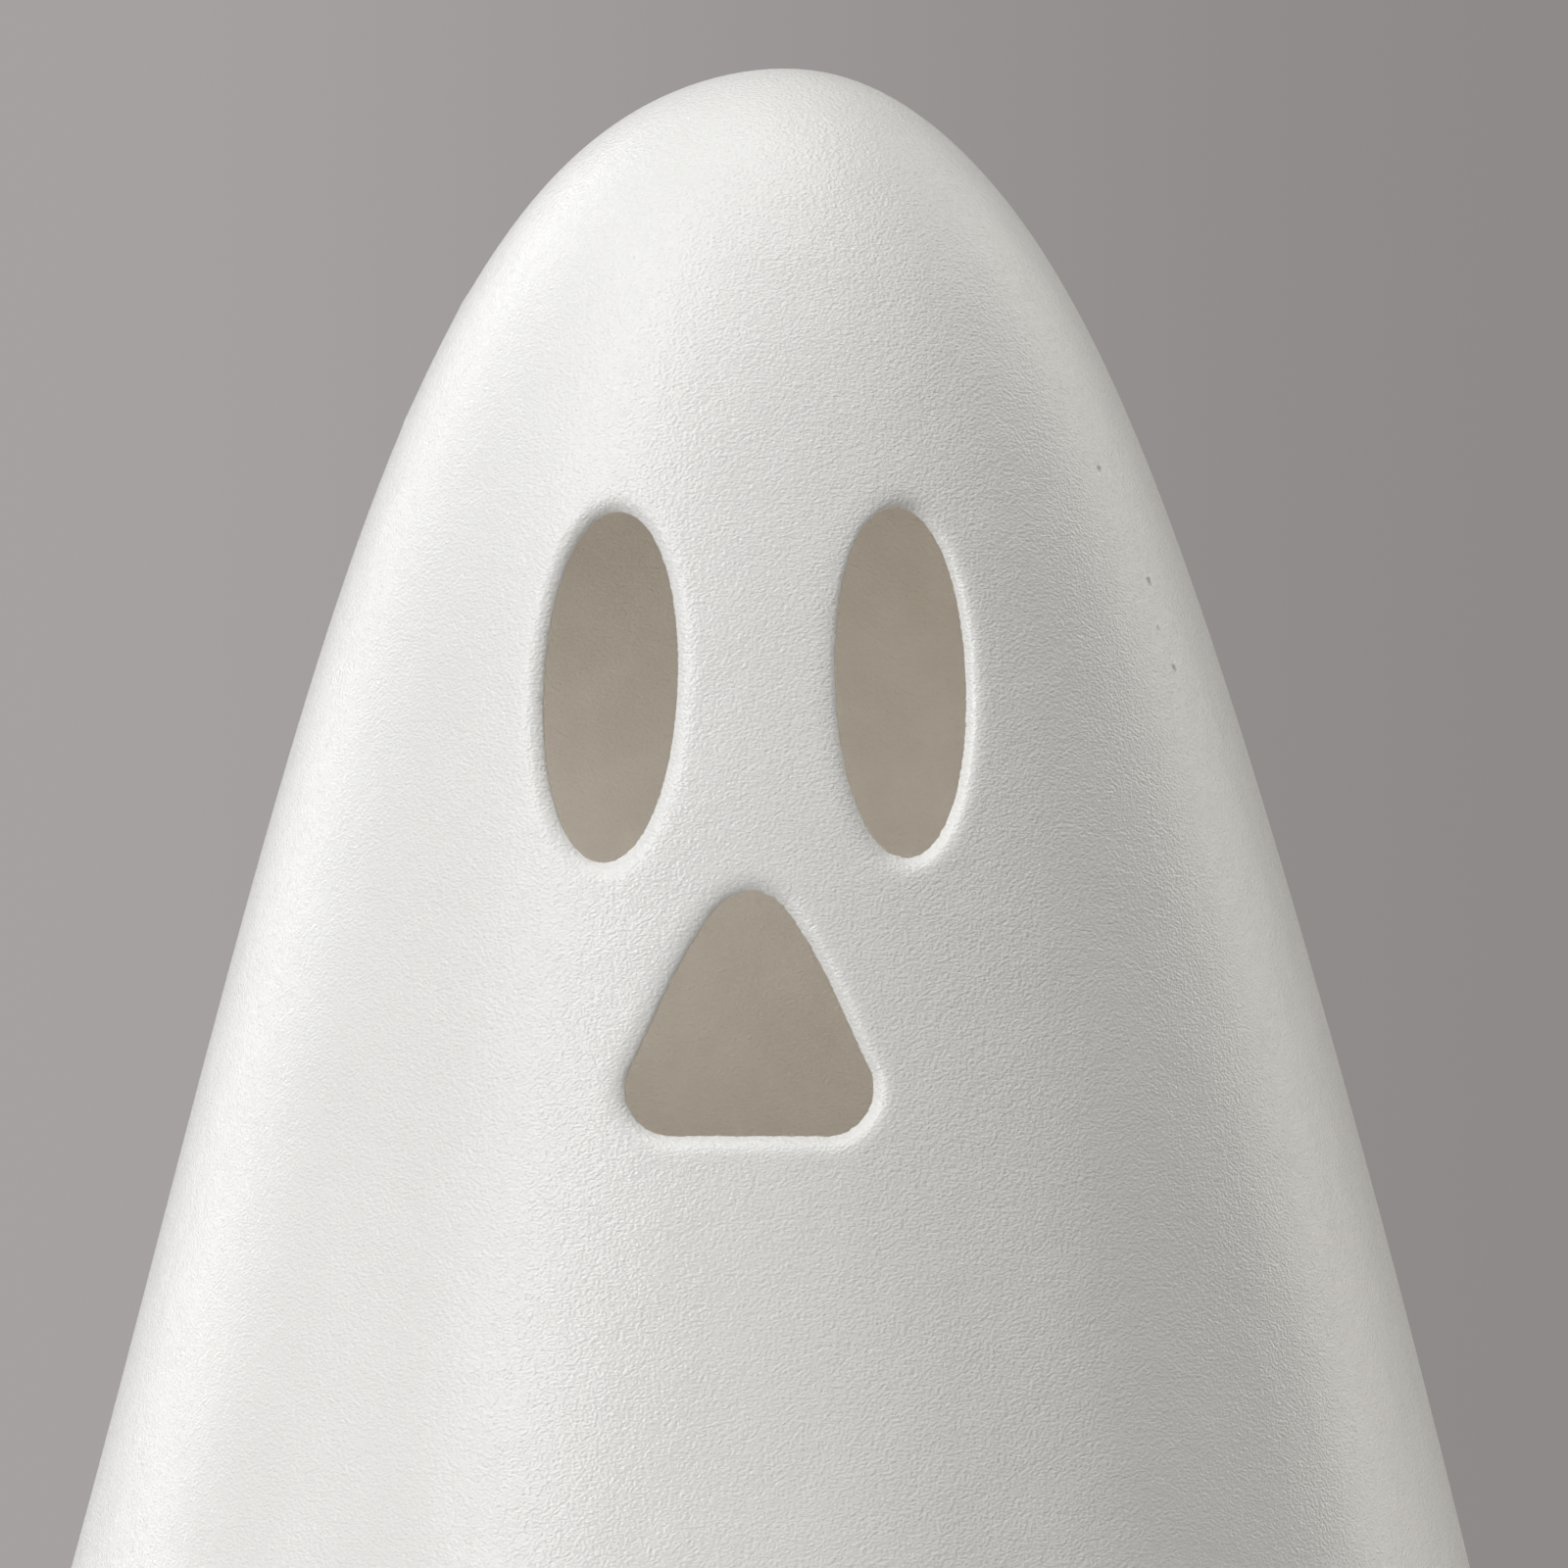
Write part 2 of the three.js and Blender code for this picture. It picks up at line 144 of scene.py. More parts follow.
# How closely the shell is meshed: columns and rows, and the rectangles that are faced again round openings
OUTER_GRID = (320, 170)
INNER_GRID = (160, 100)
FACE_POINT_SPACING = 0.22 * MM
ARCH_POINT_SPACING = 0.5 * MM
FACE_WINDOW = dict(half_angle=math.radians(40), top=114.5 * MM, bottom=63.5 * MM, about=0)
ARCH_WINDOW = dict(half_angle=math.radians(43), top=61 * MM, bottom=FOOT_LEVEL, about=math.pi)
FACE_HALO = 0.45 * MM
ARCH_HALO = 0.4 * MM

# The foot
PAD_RADIUS = 4.5 * MM
PAD_MARGIN = 1 * MM
PAD_EDGE = 0.35 * MM
PAD_FACE_INSET = 0.4 * MM  # of the glued face
PAD_DIMPLE = [(0, 0.12 * MM), (0.35, 0.1 * MM), (0.55, 0)]  # shares of the radius, depth
RECESS_DEPTH = 2 * MM
RECESS_DRAFT = 1 * MM
FOOT_ROUND = 0.6 * MM
MOAT_BEND = 0.98 * MM  # where the hollow's wall turns into the moat round the floor
FLOOR_BEND = 0.5 * MM

# The tealight, measured from the cup's underside
CUP_LOW, CUP_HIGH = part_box("tealight_cup")
FLOOR_LEVEL = CUP_LOW.z
CUP_HEIGHT = CUP_HIGH.z - CUP_LOW.z
CUP_RIM = 0.5 * MM
CUP_RADIUS = CUP_HIGH.x - CUP_RIM
CUP_TAPER = 0.5 * MM
CUP_WALL = 0.25 * MM
CUP_BASE_ROUND = 1.2 * MM
CUP_WALL_SHARES = (0.12, 0.88)  # of its height, between which the wall is meshed in rows
CUP_WALL_ROWS = 12
CUP_HUB = 6 * MM  # radius of the middle faces of its underside
CUP_RING = 12.6 * MM  # and of a ring stamped round them
CUP_RING_DEPTH = 0.1 * MM
CUP_RING_PROFILE = [(0, 0), (0.3, 1), (1.0, 1), (1.3, 0)]  # millimetres out, share of the depth
WAX_BELOW_RIM = 2.5 * MM
WAX_MENISCUS = 0.6 * MM
WAX_DISH = 0.15 * MM  # how far the wax sank as it set, half way out
WAX_RIPPLE = 0.25  # of that depth
WAX_RIPPLES = 3
WICK_FREE_LENGTH = 9 * MM
WICK_BEND = 1.4 * MM
WICK_RADIUS = 0.8 * MM
STRANDS = 3
STRAND_RADIUS = 0.36 * MM
PLAIT_PITCH = 2.6 * MM
PLAIT_INSET = 0.04 * MM
PLAIT_FLATNESS = 0.9
CUT_TAPER = 0.45  # how much a strand narrows at its cut end
CUT_TAPER_LENGTH = 0.35 * MM
PLIES = 3
PLY_DEPTH = 0.1  # of the strand's radius
PLY_TWIST = 1.5  # turns for each turn of the plait
SUSTAINER_RADIUS = 6.5 * MM
SUSTAINER_SHEET = 0.3 * MM
SUSTAINER_NECK = 4.5 * MM
POUR_GAP = 0.12 * MM
CRIMP_GAP = 0.1 * MM
FLUTES = 64  # faint pleats in the drawn cup's wall
FLUTE_GROUPS = 5  # how often they grow deeper and fade again on the way round
FLUTE_DEPTH = 0.04 * MM
DENTS = 23

# Marks of the casting, as angle in degrees and height, and for the pinholes also their relative size
PINHOLES = [
    (61.4, 113.0 * MM, 1.0),
    (65.5, 105.5 * MM, 1.3),
    (64.0, 102.4 * MM, 0.65),
    (65.1, 99.7 * MM, 1.0),
]
PINHOLE_RADIUS = 0.2 * MM
PINHOLE_DEPTH = 0.13 * MM
PINHOLE_PROFILE = [(1.5, 0.0), (1.15, 0.08), (0.9, 0.3), (0.7, 0.65), (0.4, 0.92)]  # of radius and depth
PINHOLE_HALO = 2.1
PINHOLE_STRETCH = (1.2, 1.3)  # sideways and upwards
PINHOLE_COLUMNS = 14
TRIM_BUMPS = [(-87, 124.2 * MM), (-85, 116.6 * MM)]
TRIM_BUMP_HEIGHT = 0.07 * MM
TRIM_BUMP_SPREAD = 0.7 * MM

# The photograph's frame, taken as 1600 by 1600 pixels
PHOTO_SIDE = 1600
PIXELS_PER_METRE = 15200  # at the ghost's axis
AXIS_PIXEL = 785.5  # column of the ghost's axis
TABLE_PIXEL = 2198  # row in which the table would lie
CAMERA_DISTANCE = 2.4
CAMERA_AZIMUTH = math.radians(1.9)
CAMERA_ELEVATION = math.radians(0)

# The studio: soft panels as azimuth, elevation, width, height, power and colour
WHITE = (1, 1, 1)
WARM = (1.04, 1, 0.92)
LAMP_DISTANCE = 1.0
LAMPS = [
    (-48, 20, 0.3, 0.9, 4.62, WHITE),
    (-60, 52, 0.5, 0.5, 2.52, WHITE),
    (0, 85, 0.6, 0.6, 2.68, WHITE),
    (60, 52, 0.5, 0.5, 0.75, WARM),
    (115, 20, 0.3, 0.9, 1.00, WARM),
    (130, 20, 0.3, 0.9, 1.62, WARM),
    (-135, 20, 0.3, 0.9, 2.04, WHITE),
]
FILL_RADIUS = 12 * MM
FILL_ASIDE = 13 * MM
FILL_LEVEL = 75 * MM
FILL_POWER = 0.0102
WORLD_LIGHT = 0.2
WORLD_COLOUR = (1.02, 1, 0.965)
# The wall's greys are painted light and shade: lighter to the left as if lit from that side, darker to the
# right.
WALL_LEFT = -0.055  # sideways direction in which the wall's lighter grey ends
WALL_RIGHT = -0.0113
WALL_PAINTED_LIT_GREY = (0.380, 0.359, 0.355)
WALL_PAINTED_SHADE_GREY = (0.269, 0.255, 0.250)
FLOOR_RADIUS = 0.28
FLOOR_HUB = 0.02
FLOOR_FADE = 0.15


# Meshes

class Gathered:
    """Points and faces on their way into one mesh."""

    def __init__(self):
        self.points = []
        self.faces = []

    def add(self, points):
        """Adds points and gives their numbers."""
        first = len(self.points)
        self.points.extend(map(tuple, np.asarray(points, float).reshape(-1, 3)))
        return np.arange(first, len(self.points))

    def band(self, ring, other):
        """Joins two closed rings of as many points."""
        for k in range(len(ring)):
            following = (k + 1) % len(ring)
            self.faces.append((ring[k], other[k], other[following], ring[following]))

    def tunnel(self, rings):
        for ring, other in zip(rings, rings[1:]):
            self.band(ring, other)

    def fan(self, ring, centre):
        """Closes a ring with triangles to a new point."""
        hub = self.add([centre])[0]
        for k in range(len(ring)):
            self.faces.append((ring[k], ring[(k + 1) % len(ring)], hub))

    def build(self, name):
        """A smooth-shaded object whose faces all point outwards."""
        mesh = bpy.data.meshes.new(name)
        mesh.from_pydata(self.points, [], [tuple(map(int, face)) for face in self.faces])
        work = bmesh.new()
        work.from_mesh(mesh)
        bmesh.ops.delete(work, geom=[v for v in work.verts if not v.link_faces], context="VERTS")
        bmesh.ops.recalc_face_normals(work, faces=work.faces)
        for face in work.faces:
            face.smooth = True
        work.to_mesh(mesh)
        work.free()
        made = bpy.data.objects.new(name, mesh)
        bpy.context.scene.collection.objects.link(made)
        return made


def around(radius, angle, height):
    """Points about the upright axis. Angle 0 is the face's direction, -Y."""
    radius, angle, height = np.broadcast_arrays(radius, angle, height)
    return np.stack([radius * np.sin(angle), -radius * np.cos(angle), height], -1)


def full_turn(columns):
    return np.arange(columns) * TURN / columns


def arc(centre, size, start, end, steps=6):
    """Radius and height pairs along an arc, its angles in degrees."""
    angles = np.radians(np.linspace(start, end, steps + 1))
    return [(centre[0] + size * math.cos(a), centre[1] + size * math.sin(a)) for a in angles]


def turned(name, profile, centre=(0, 0, 0), columns=128, shape=None):
    """A solid turned from radius and height pairs about an upright axis through the centre.

    A profile whose first point lies off the axis closes on itself. A shape gives what the radii gain, from
    radius, angles and height.
    """
    work = Gathered()
    closed = profile[0][0] > 0
    angles = full_turn(columns)
    rings = []
    for radius, height in profile if closed else profile[1:-1]:
        radii = radius + (shape(radius, angles, height) if shape else 0)
        rings.append(work.add(around(radii, angles, height) + centre))
    work.tunnel(rings)
    if closed:
        work.band(rings[-1], rings[0])
    else:
        for ring, (_, height) in ((rings[0], profile[0]), (rings[-1], profile[-1])):
            work.fan(ring, np.add(centre, (0, 0, height)))
    return work.build(name)


def stand_for(piece, body, slot, *nodes):
    """Puts a piece in the place of its nodes."""
    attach(piece, body)
    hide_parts(*nodes)


# The draped sheet

def drape_radius(angle, depth):
    """A parabola with a blunter tip. Its flare, folds and grooves grow towards the hem."""
    spread = (HEM_RADIUS - FLARE)**2 / DRAPE_DEPTH
    blunt = (2 * CROWN_RADIUS - spread) * np.exp(-depth / CROWN_BLEND)
    share = depth / DRAPE_DEPTH
    body = np.sqrt(depth * (spread + blunt)) + FLARE * share**2
    calm = 1 - hump(angle, CALM_FROM_FACE, CALM_WIDTH)
    fold = FOLD_DEPTH * share**FOLD_GROWTH * np.cos(FOLDS * angle) * calm
    for degrees, deep, wide in GROOVES:
        fold = fold + deep * share**GROOVE_GROWTH * hump(angle, degrees, wide)
    waves = sum(np.sin(count * angle + twist * share) for count, twist in WAVES)
    waver = WAVER * share * (waves - len(WAVES))
    return body - fold + waver + trim_bumps(angle, depth)


def hump(angle, degrees, wide):
    """1 at so many degrees round from the face, and down to nothing on both sides."""
    away = (np.degrees(angle) - degrees + 180) % 360 - 180
    return np.exp(-(away / wide)**2)


def trim_bumps(angle, depth):
    """Where the seam of the mould was trimmed, a little too much was left."""
    radius = HEM_RADIUS * np.sqrt(depth / DRAPE_DEPTH)
    height = 0.0
    for degrees, level in TRIM_BUMPS:
        along = (angle - math.radians(degrees) + math.pi) % TURN - math.pi
        gap = (radius * along)**2 + (HEIGHT - depth - level)**2
        height = height + TRIM_BUMP_HEIGHT * np.exp(-gap / TRIM_BUMP_SPREAD**2)
    return height


def drape_point(angle, share):
    """A point of the sheet. Share is 0 at the crown, 1 at the foot, and the square root of depth between."""
    depth = DRAPE_DEPTH * share**2
    point = around(drape_radius(angle, depth), angle, HEIGHT - depth)
    sway = SWAY * np.sin(TURN * (depth / DRAPE_DEPTH - SWAY_START) / SWAY_LENGTH)
    point[..., 0] += CROWN_SHIFT * np.exp(-depth / CROWN_SHIFT_FADE) - sway
    return point


def wall_point(angle, share, into):
    """The same point, moved into the wall along the sheet's normal."""
    step = 1e-3
    across = drape_point(angle + step, share) - drape_point(angle - step, share)
    down = drape_point(angle, share + step) - drape_point(angle, share - step)
    inwards = np.cross(across, down)
    inwards /= np.linalg.norm(inwards, axis=-1, keepdims=True)
    return drape_point(angle, share) + np.asarray(into)[..., None] * inwards


def angle_at(x, z, at_back):
    """The angle at which the sheet stands over x and z, on the face's side or at the back."""
    angle = np.full_like(x, math.pi if at_back else 0)
    for _ in range(10):
        turn = np.arcsin(x / drape_radius(angle, HEIGHT - z))
        angle = math.pi - turn if at_back else turn
    return angle


def share_at(z):
    return np.sqrt((HEIGHT - z) / DRAPE_DEPTH)


def profile_lengths():
    """Shares down the mean sheet, and the length of its profile to each."""
    shares = np.linspace(0, 1, 400)
    depths = DRAPE_DEPTH * shares**2
    radii = drape_radius(np.pi / (2 * FOLDS), depths)
    steps = np.hypot(np.diff(depths), np.diff(radii))
    return shares, np.concatenate([[0], np.cumsum(steps)])


PROFILE_SHARES, PROFILE_LENGTHS = profile_lengths()


def length_at(share):
    return np.interp(share, PROFILE_SHARES, PROFILE_LENGTHS)


class Sheet:
    """The outer or inner face of the wall: a grid of columns and rows, re-faced round its openings."""

    CLOSEST = 0.6  # of the columns' spacing

    def __init__(self, work, columns, rows, last_share, into):
        self.work = work
        self.into = into
        self.columns = columns
        self.angles = full_turn(columns)
        lengths = np.linspace(0, length_at(last_share), rows + 1)[1:]
        self.shares = np.interp(lengths, PROFILE_LENGTHS, PROFILE_SHARES)
        grid = wall_point(self.angles[None, :], self.shares[:, None], into)
        self.numbers = work.add(grid).reshape(rows, columns)
        self.open = np.zeros((rows - 1, columns), bool)

    def flat(self, angle, share, radius):
        return np.stack([np.asarray(angle) * radius, length_at(share)], -1)

    def window(self, half_angle, top, bottom, about):
        """Rows and columns of the grid that span a rectangle."""
        spread = math.ceil(half_angle / (TURN / self.columns))
        centre = round(about / (TURN / self.columns))
        first = int(np.searchsorted(self.shares, share_at(top))) - 1
        last = min(int(np.searchsorted(self.shares, share_at(bottom))), len(self.shares) - 1)
        return np.arange(first, last + 1), np.arange(centre - spread, centre + spread + 1)

    def refit(self, half_angle, top, bottom, about, loops, halos):
        """Faces a rectangle of the grid again, leaving the loops open.

        Loops and halos are rings of angle and share, with their points' numbers. Halos are only passed
        through, and grid points close to either are left out.
        """
        rows, columns = self.window(half_angle, top, bottom, about)
        self.open[rows[0]:rows[-1], columns[:-1] % self.columns] = True
        radius = float(drape_radius(0.0, HEIGHT - (top + bottom) / 2))
        spacing = TURN / self.columns * radius

        def grid_points(r, c):
            angle = c * TURN / self.columns
            return self.numbers[r, c % self.columns], self.flat(angle, self.shares[r], radius)

        outlines = [self.flat(angle, share, radius) for angle, share, _ in loops]
        passed = [self.flat(angle, share, radius) for angle, share, _ in halos]
        border_numbers, border = grid_points(*border_of(rows, columns))
        inner_rows, inner_columns = np.meshgrid(rows[1:-1], columns[1:-1], indexing="ij")
        inner_numbers, inner = grid_points(inner_rows.ravel(), inner_columns.ravel())
        kept = clear_of(inner, passed + outlines, self.CLOSEST * spacing) & ~within(inner, outlines)
        ring_numbers = [ring for _, _, ring in loops + halos]
        numbers = np.concatenate([border_numbers, *ring_numbers, inner_numbers[kept]])
        flat = np.concatenate([border, *outlines, *passed, inner[kept]])
        self.work.faces.extend(map(tuple, numbers[fill_between([border, *outlines], flat)]))

    def face(self):
        """Faces the rest of the grid."""
        for row in range(len(self.shares) - 1):
            for column in range(self.columns):
                if self.open[row, column]:
                    continue
                near, far = column, (column + 1) % self.columns
                above, below = self.numbers[row], self.numbers[row + 1]
                self.work.faces.append((above[near], below[near], below[far], above[far]))


def border_of(rows, columns):
    """Rows and columns of the points round a rectangle of the grid, in order."""
    border = [(rows[0], c) for c in columns] + [(r, columns[-1]) for r in rows[1:]]
    border += [(rows[-1], c) for c in columns[-2::-1]] + [(r, columns[0]) for r in rows[-2:0:-1]]
    return np.array(border).T


def clear_of(points, rings, gap):
    """Which points are further than a gap from the points of all rings."""
    nearest = [np.linalg.norm(points[:, None] - ring[None], axis=-1).min(1) for ring in rings]
    return np.min(nearest, axis=0) > gap


def fill_between(rings, points):
    """Triangles of points inside the first ring and outside the others. The rings' points come first."""
    edges = []
    for ring in rings:
        first = len(edges)
        edges += [(first + k, first + (k + 1) % len(ring)) for k in range(len(ring))]
    made = delaunay_2d_cdt([Vector(p) for p in points / MM], edges, [], 0, 1e-6)
    source = [origin[0] for origin in made[3]]
    corners = np.array([[source[k] for k in face] for face in made[2]])
    return corners[~within(points[corners].mean(1), rings[1:])]


def within(points, outlines):
    """Which points lie inside any of the outlines."""
    return np.any([inside(points, outline) for outline in outlines], axis=0)


def inside(points, outline):
    """Which points lie inside a closed outline, by counting crossings."""
    x, y = points[:, 0, None], points[:, 1, None]
    ax, ay = outline.T
    bx, by = np.roll(outline, -1, 0).T
    straddles = (ay > y) != (by > y)
    with np.errstate(divide="ignore", invalid="ignore"):
        crossing = ax + (y - ay) / (by - ay) * (bx - ax)
    return (straddles & (x < crossing)).sum(1) % 2 == 1


# The openings' outlines, as x and z in the front view

def evenly(points, spacing):
    """A closed outline again, with points that far apart."""
    closed = np.vstack([points, points[:1]])
    lengths = np.concatenate([[0], np.cumsum(np.linalg.norm(np.diff(closed, axis=0), axis=1))])
    count = round(lengths[-1] / spacing)
    wanted = np.arange(count) * lengths[-1] / count
    return np.stack([np.interp(wanted, lengths, closed[:, axis]) for axis in (0, 1)], -1)


def flat_arc(x, z, radius, start, end):
    angles = np.linspace(start, end, 60)
    return np.stack([x + radius * np.cos(angles), z + radius * np.sin(angles)], -1)


def eye_outline(side):
    centre, rise, width, degrees, fullness = EYES[side]
    lean = math.radians(degrees)
    wide, high = np.cos(full_turn(400)), np.sin(full_turn(400))
    across = width / 2 * np.sign(wide) * np.abs(wide)**(2 / fullness)
    up = EYE_HEIGHT / 2 * np.sign(high) * np.abs(high)**(2 / fullness)
    x = centre + across * math.cos(lean) - up * math.sin(lean)
    z = EYE_LEVEL + rise + across * math.sin(lean) + up * math.cos(lean)
    return np.stack([x, z], -1)


def mouth_outline():
    lower = (MOUTH_WIDTH / 2 - MOUTH_CORNER_ROUND, MOUTH_LEVEL + MOUTH_CORNER_ROUND)
    upper = (0, MOUTH_LEVEL + MOUTH_HEIGHT - MOUTH_TOP_ROUND)
    run = (upper[0] - lower[0], upper[1] - lower[1])
    slope = math.atan2(run[1], run[0])
    touch = slope - math.acos((MOUTH_CORNER_ROUND - MOUTH_TOP_ROUND) / math.hypot(*run))
    outline = np.vstack([
        flat_arc(*lower, MOUTH_CORNER_ROUND, -RIGHT_ANGLE, touch),
        flat_arc(*upper, MOUTH_TOP_ROUND, touch, math.pi - touch),
        flat_arc(-lower[0], lower[1], MOUTH_CORNER_ROUND, math.pi - touch, 3 * RIGHT_ANGLE),
    ])
    outline = evenly(outline, MOUTH_POINT_SPACING)
    up = np.clip((outline[:, 1] - MOUTH_LEVEL) / MOUTH_HEIGHT, 0, 1)
    outline[:, 0] *= 1 + MOUTH_BULGE * np.sin(math.pi * up**MOUTH_BULGE_RISE)
    return outline + (MOUTH_SHIFT, 0)


def arch_outline():
    half = CUP_RADIUS + CUP_RIM + ARCH_CLEARANCE
    sill = FLOOR_LEVEL - SILL_CLEARANCE
    corner = half - ARCH_CORNER_ROUND
    return np.vstack([
        flat_arc(corner, sill + ARCH_CORNER_ROUND, ARCH_CORNER_ROUND, -RIGHT_ANGLE, 0),
        flat_arc(0, sill + ARCH_HEIGHT - half, half, 0, math.pi),
        flat_arc(-corner, sill + ARCH_CORNER_ROUND, ARCH_CORNER_ROUND, math.pi, 3 * RIGHT_ANGLE),
    ])


class Opening:
    """A hole straight through the wall. Its outer edge dips in, and less so where crisp points."""

    OUTER_STEPS = 9
    EDGE_STEPS = 3
    INNER_STEPS = 3
    RAGGED_ONSET = 8  # how late towards the edge it grows ragged

    def __init__(self, outline, at_back=False, spacing=FACE_POINT_SPACING, crisp=(0, 0)):
        self.outline = evenly(outline, spacing)
        self.at_back = at_back
        chord = np.roll(self.outline, -1, 0) - np.roll(self.outline, 1, 0)
        self.sideways = np.stack([chord[:, 1], -chord[:, 0]], -1)
        self.sideways /= np.linalg.norm(self.sideways, axis=1, keepdims=True)
        lie = (self.sideways[:, 0] - self.sideways[:, 1]) / math.sqrt(2)
        self.power = np.interp(lie, (-1, 1), RIM_POWERS)
        self.dip = np.interp(lie, (-1, 1), RIM_DIPS) * (1 - np.clip(self.sideways @ crisp, 0, 1))
        self.ragged = RAGGEDNESS * chance.normal(size=len(self.outline))

    def ring(self, work, grow, into, share_of_ragged=0.0):
        """Angle, share and point numbers of the outline, grown sideways, at a depth in the wall."""
        amount = grow + share_of_ragged * self.ragged
        wanted = self.outline + self.sideways * np.asarray(amount)[..., None]
        aim = wanted
        for _ in range(5):
            angle, share = angle_at(*aim.T, self.at_back), share_at(aim[:, 1])
            points = wall_point(angle, share, into)
            aim = aim + wanted - points[:, [0, 2]]
        return angle, share, work.add(points)

    def cut(self, work):
        """Lines the hole. Returns the ring on the outer face and the one on the inner face."""
        bend = RIGHT_ANGLE / 2
        edge = EDGE_ROUND * (1 - math.sin(bend))
        rings = []
        for share in np.linspace(0, 1, self.OUTER_STEPS + 1):
            grow = edge + (RIM_SPREAD - edge) * (1 - share)
            rings.append(self.ring(work, grow, self.dip * share**self.power, share**self.RAGGED_ONSET))
        for turn in np.linspace(bend, RIGHT_ANGLE, self.EDGE_STEPS + 1)[1:]:
            grow = EDGE_ROUND * (1 - math.sin(turn))
            drop = EDGE_ROUND * (math.cos(bend) - math.cos(turn))
            rings.append(self.ring(work, grow, self.dip + drop, 1.0))
        for turn in np.linspace(0, RIGHT_ANGLE, self.INNER_STEPS + 1):
            grow = INNER_RIM_ROUND * (1 - math.cos(turn))
            rise = INNER_RIM_ROUND * (1 - math.sin(turn))
            rings.append(self.ring(work, grow, WALL - rise, 1 - math.sin(turn)))
        work.tunnel([numbers for _, _, numbers in rings])
        return rings[0], rings[-1]

    def halo(self, work, into, grow):
        """A sparser ring further out, which eases the close-set rim into the wide grid."""
        angle, share, numbers = self.ring(work, grow, into)
        thin = slice(0, None, 2)
        return angle[thin], share[thin], numbers[thin]


def ghost_shell():
    """The slip-cast body: outer sheet, rims, hem, foot, and the hollow with its raised floor."""
    work = Gathered()
    hem_share = math.sqrt(1 - HEM_ROUND / DRAPE_DEPTH)
    outer = Sheet(work, *OUTER_GRID, hem_share, 0)
    moat_level = FLOOR_LEVEL - RECESS_DEPTH
    inner = Sheet(work, *INNER_GRID, share_at(moat_level + MOAT_BEND), WALL)

    eyes = [Opening(eye_outline(side), crisp=EYE_CRISPNESS[side]) for side in (-1, 1)]
    mouth = Opening(mouth_outline(), crisp=MOUTH_CRISPNESS)
    arch = Opening(arch_outline(), at_back=True, spacing=ARCH_POINT_SPACING)
    groups = [([*eyes, mouth], FACE_WINDOW, FACE_HALO), ([arch], ARCH_WINDOW, ARCH_HALO)]
    for openings, window, gap in groups:
        cuts = [opening.cut(work) for opening in openings]
        outer_halos = [opening.halo(work, 0, RIM_SPREAD + gap) for opening in openings]
        inner_halos = [opening.halo(work, WALL, INNER_RIM_ROUND + gap) for opening in openings]
        outer.refit(**window, loops=[first for first, _ in cuts], halos=outer_halos)
        inner.refit(**window, loops=[last for _, last in cuts], halos=inner_halos)
    pinholes(work, outer)
    outer.face()
    inner.face()
    work.fan(outer.numbers[0], drape_point(np.array(0.0), np.array(0.0)))
    work.fan(inner.numbers[0], drape_point(np.array(0.0), np.array(0.0)) - (0, 0, WALL))
    close_foot(work, outer)
    close_floor(work, inner, moat_level)
    shell = work.build("ceramic_ghost")
    mark_hollow(shell)
    stand_for(shell, "ghost", "ceramic", "ghost_shell")
    return shell


def mark_hollow(shell):
    """Notes for each point of the shell how far it belongs to the hollow: 0 outside, 1 inside."""
    points = np.empty(len(shell.data.vertices) * 3)
    shell.data.vertices.foreach_get("co", points)
    x, y, z = points.reshape(-1, 3).T
    angle = np.arctan2(x, -y)
    depth = np.clip(HEIGHT - z, 0, DRAPE_DEPTH)
    gap = drape_radius(angle, depth) - np.hypot(x, y)
    crown = np.clip((HEIGHT - z) / (2 * WALL), 0, 1)
    inwards = np.clip((gap / WALL - HOLLOW_FROM) / (HOLLOW_TO - HOLLOW_FROM), 0, 1) * crown
    inwards[z < FLOOR_LEVEL - RECESS_DEPTH - 0.1 * MM] = 0
    layer = shell.data.attributes.new("hollow", "FLOAT", "POINT")
    layer.data.foreach_set("value", inwards.astype(np.float32))


def pinholes(work, outer):
    """Tiny pits, where bubbles in the slip broke the surface."""
    loops = []
    halos = []
    turns = full_turn(PINHOLE_COLUMNS)
    sideways, upwards = PINHOLE_STRETCH
    for degrees, height, scale in PINHOLES:
        level = HEIGHT - height

        def ring(size, into):
            radius = drape_radius(math.radians(degrees), level)
            angle = math.radians(degrees) + sideways * scale * size * np.cos(turns) / radius
            share = share_at(height + upwards * scale * size * np.sin(turns))
            return angle, share, work.add(wall_point(angle, share, into))

        depth = PINHOLE_DEPTH * scale
        rings = [ring(PINHOLE_RADIUS * grow, depth * into) for grow, into in PINHOLE_PROFILE]
        work.tunnel([numbers for _, _, numbers in rings])
        middle = wall_point(np.array(math.radians(degrees)), share_at(height), depth)
        work.fan(rings[-1][2], middle)
        loops.append(rings[0])
        halos.append(ring(PINHOLE_RADIUS * PINHOLE_HALO, 0))
    angles, heights, _ = zip(*PINHOLES)
    about = math.radians(sum(angles) / len(angles))
    window = dict(half_angle=math.radians(5), top=max(heights) + 2 * MM, bottom=min(heights) - 2 * MM)
    outer.refit(**window, about=about, loops=loops, halos=halos)


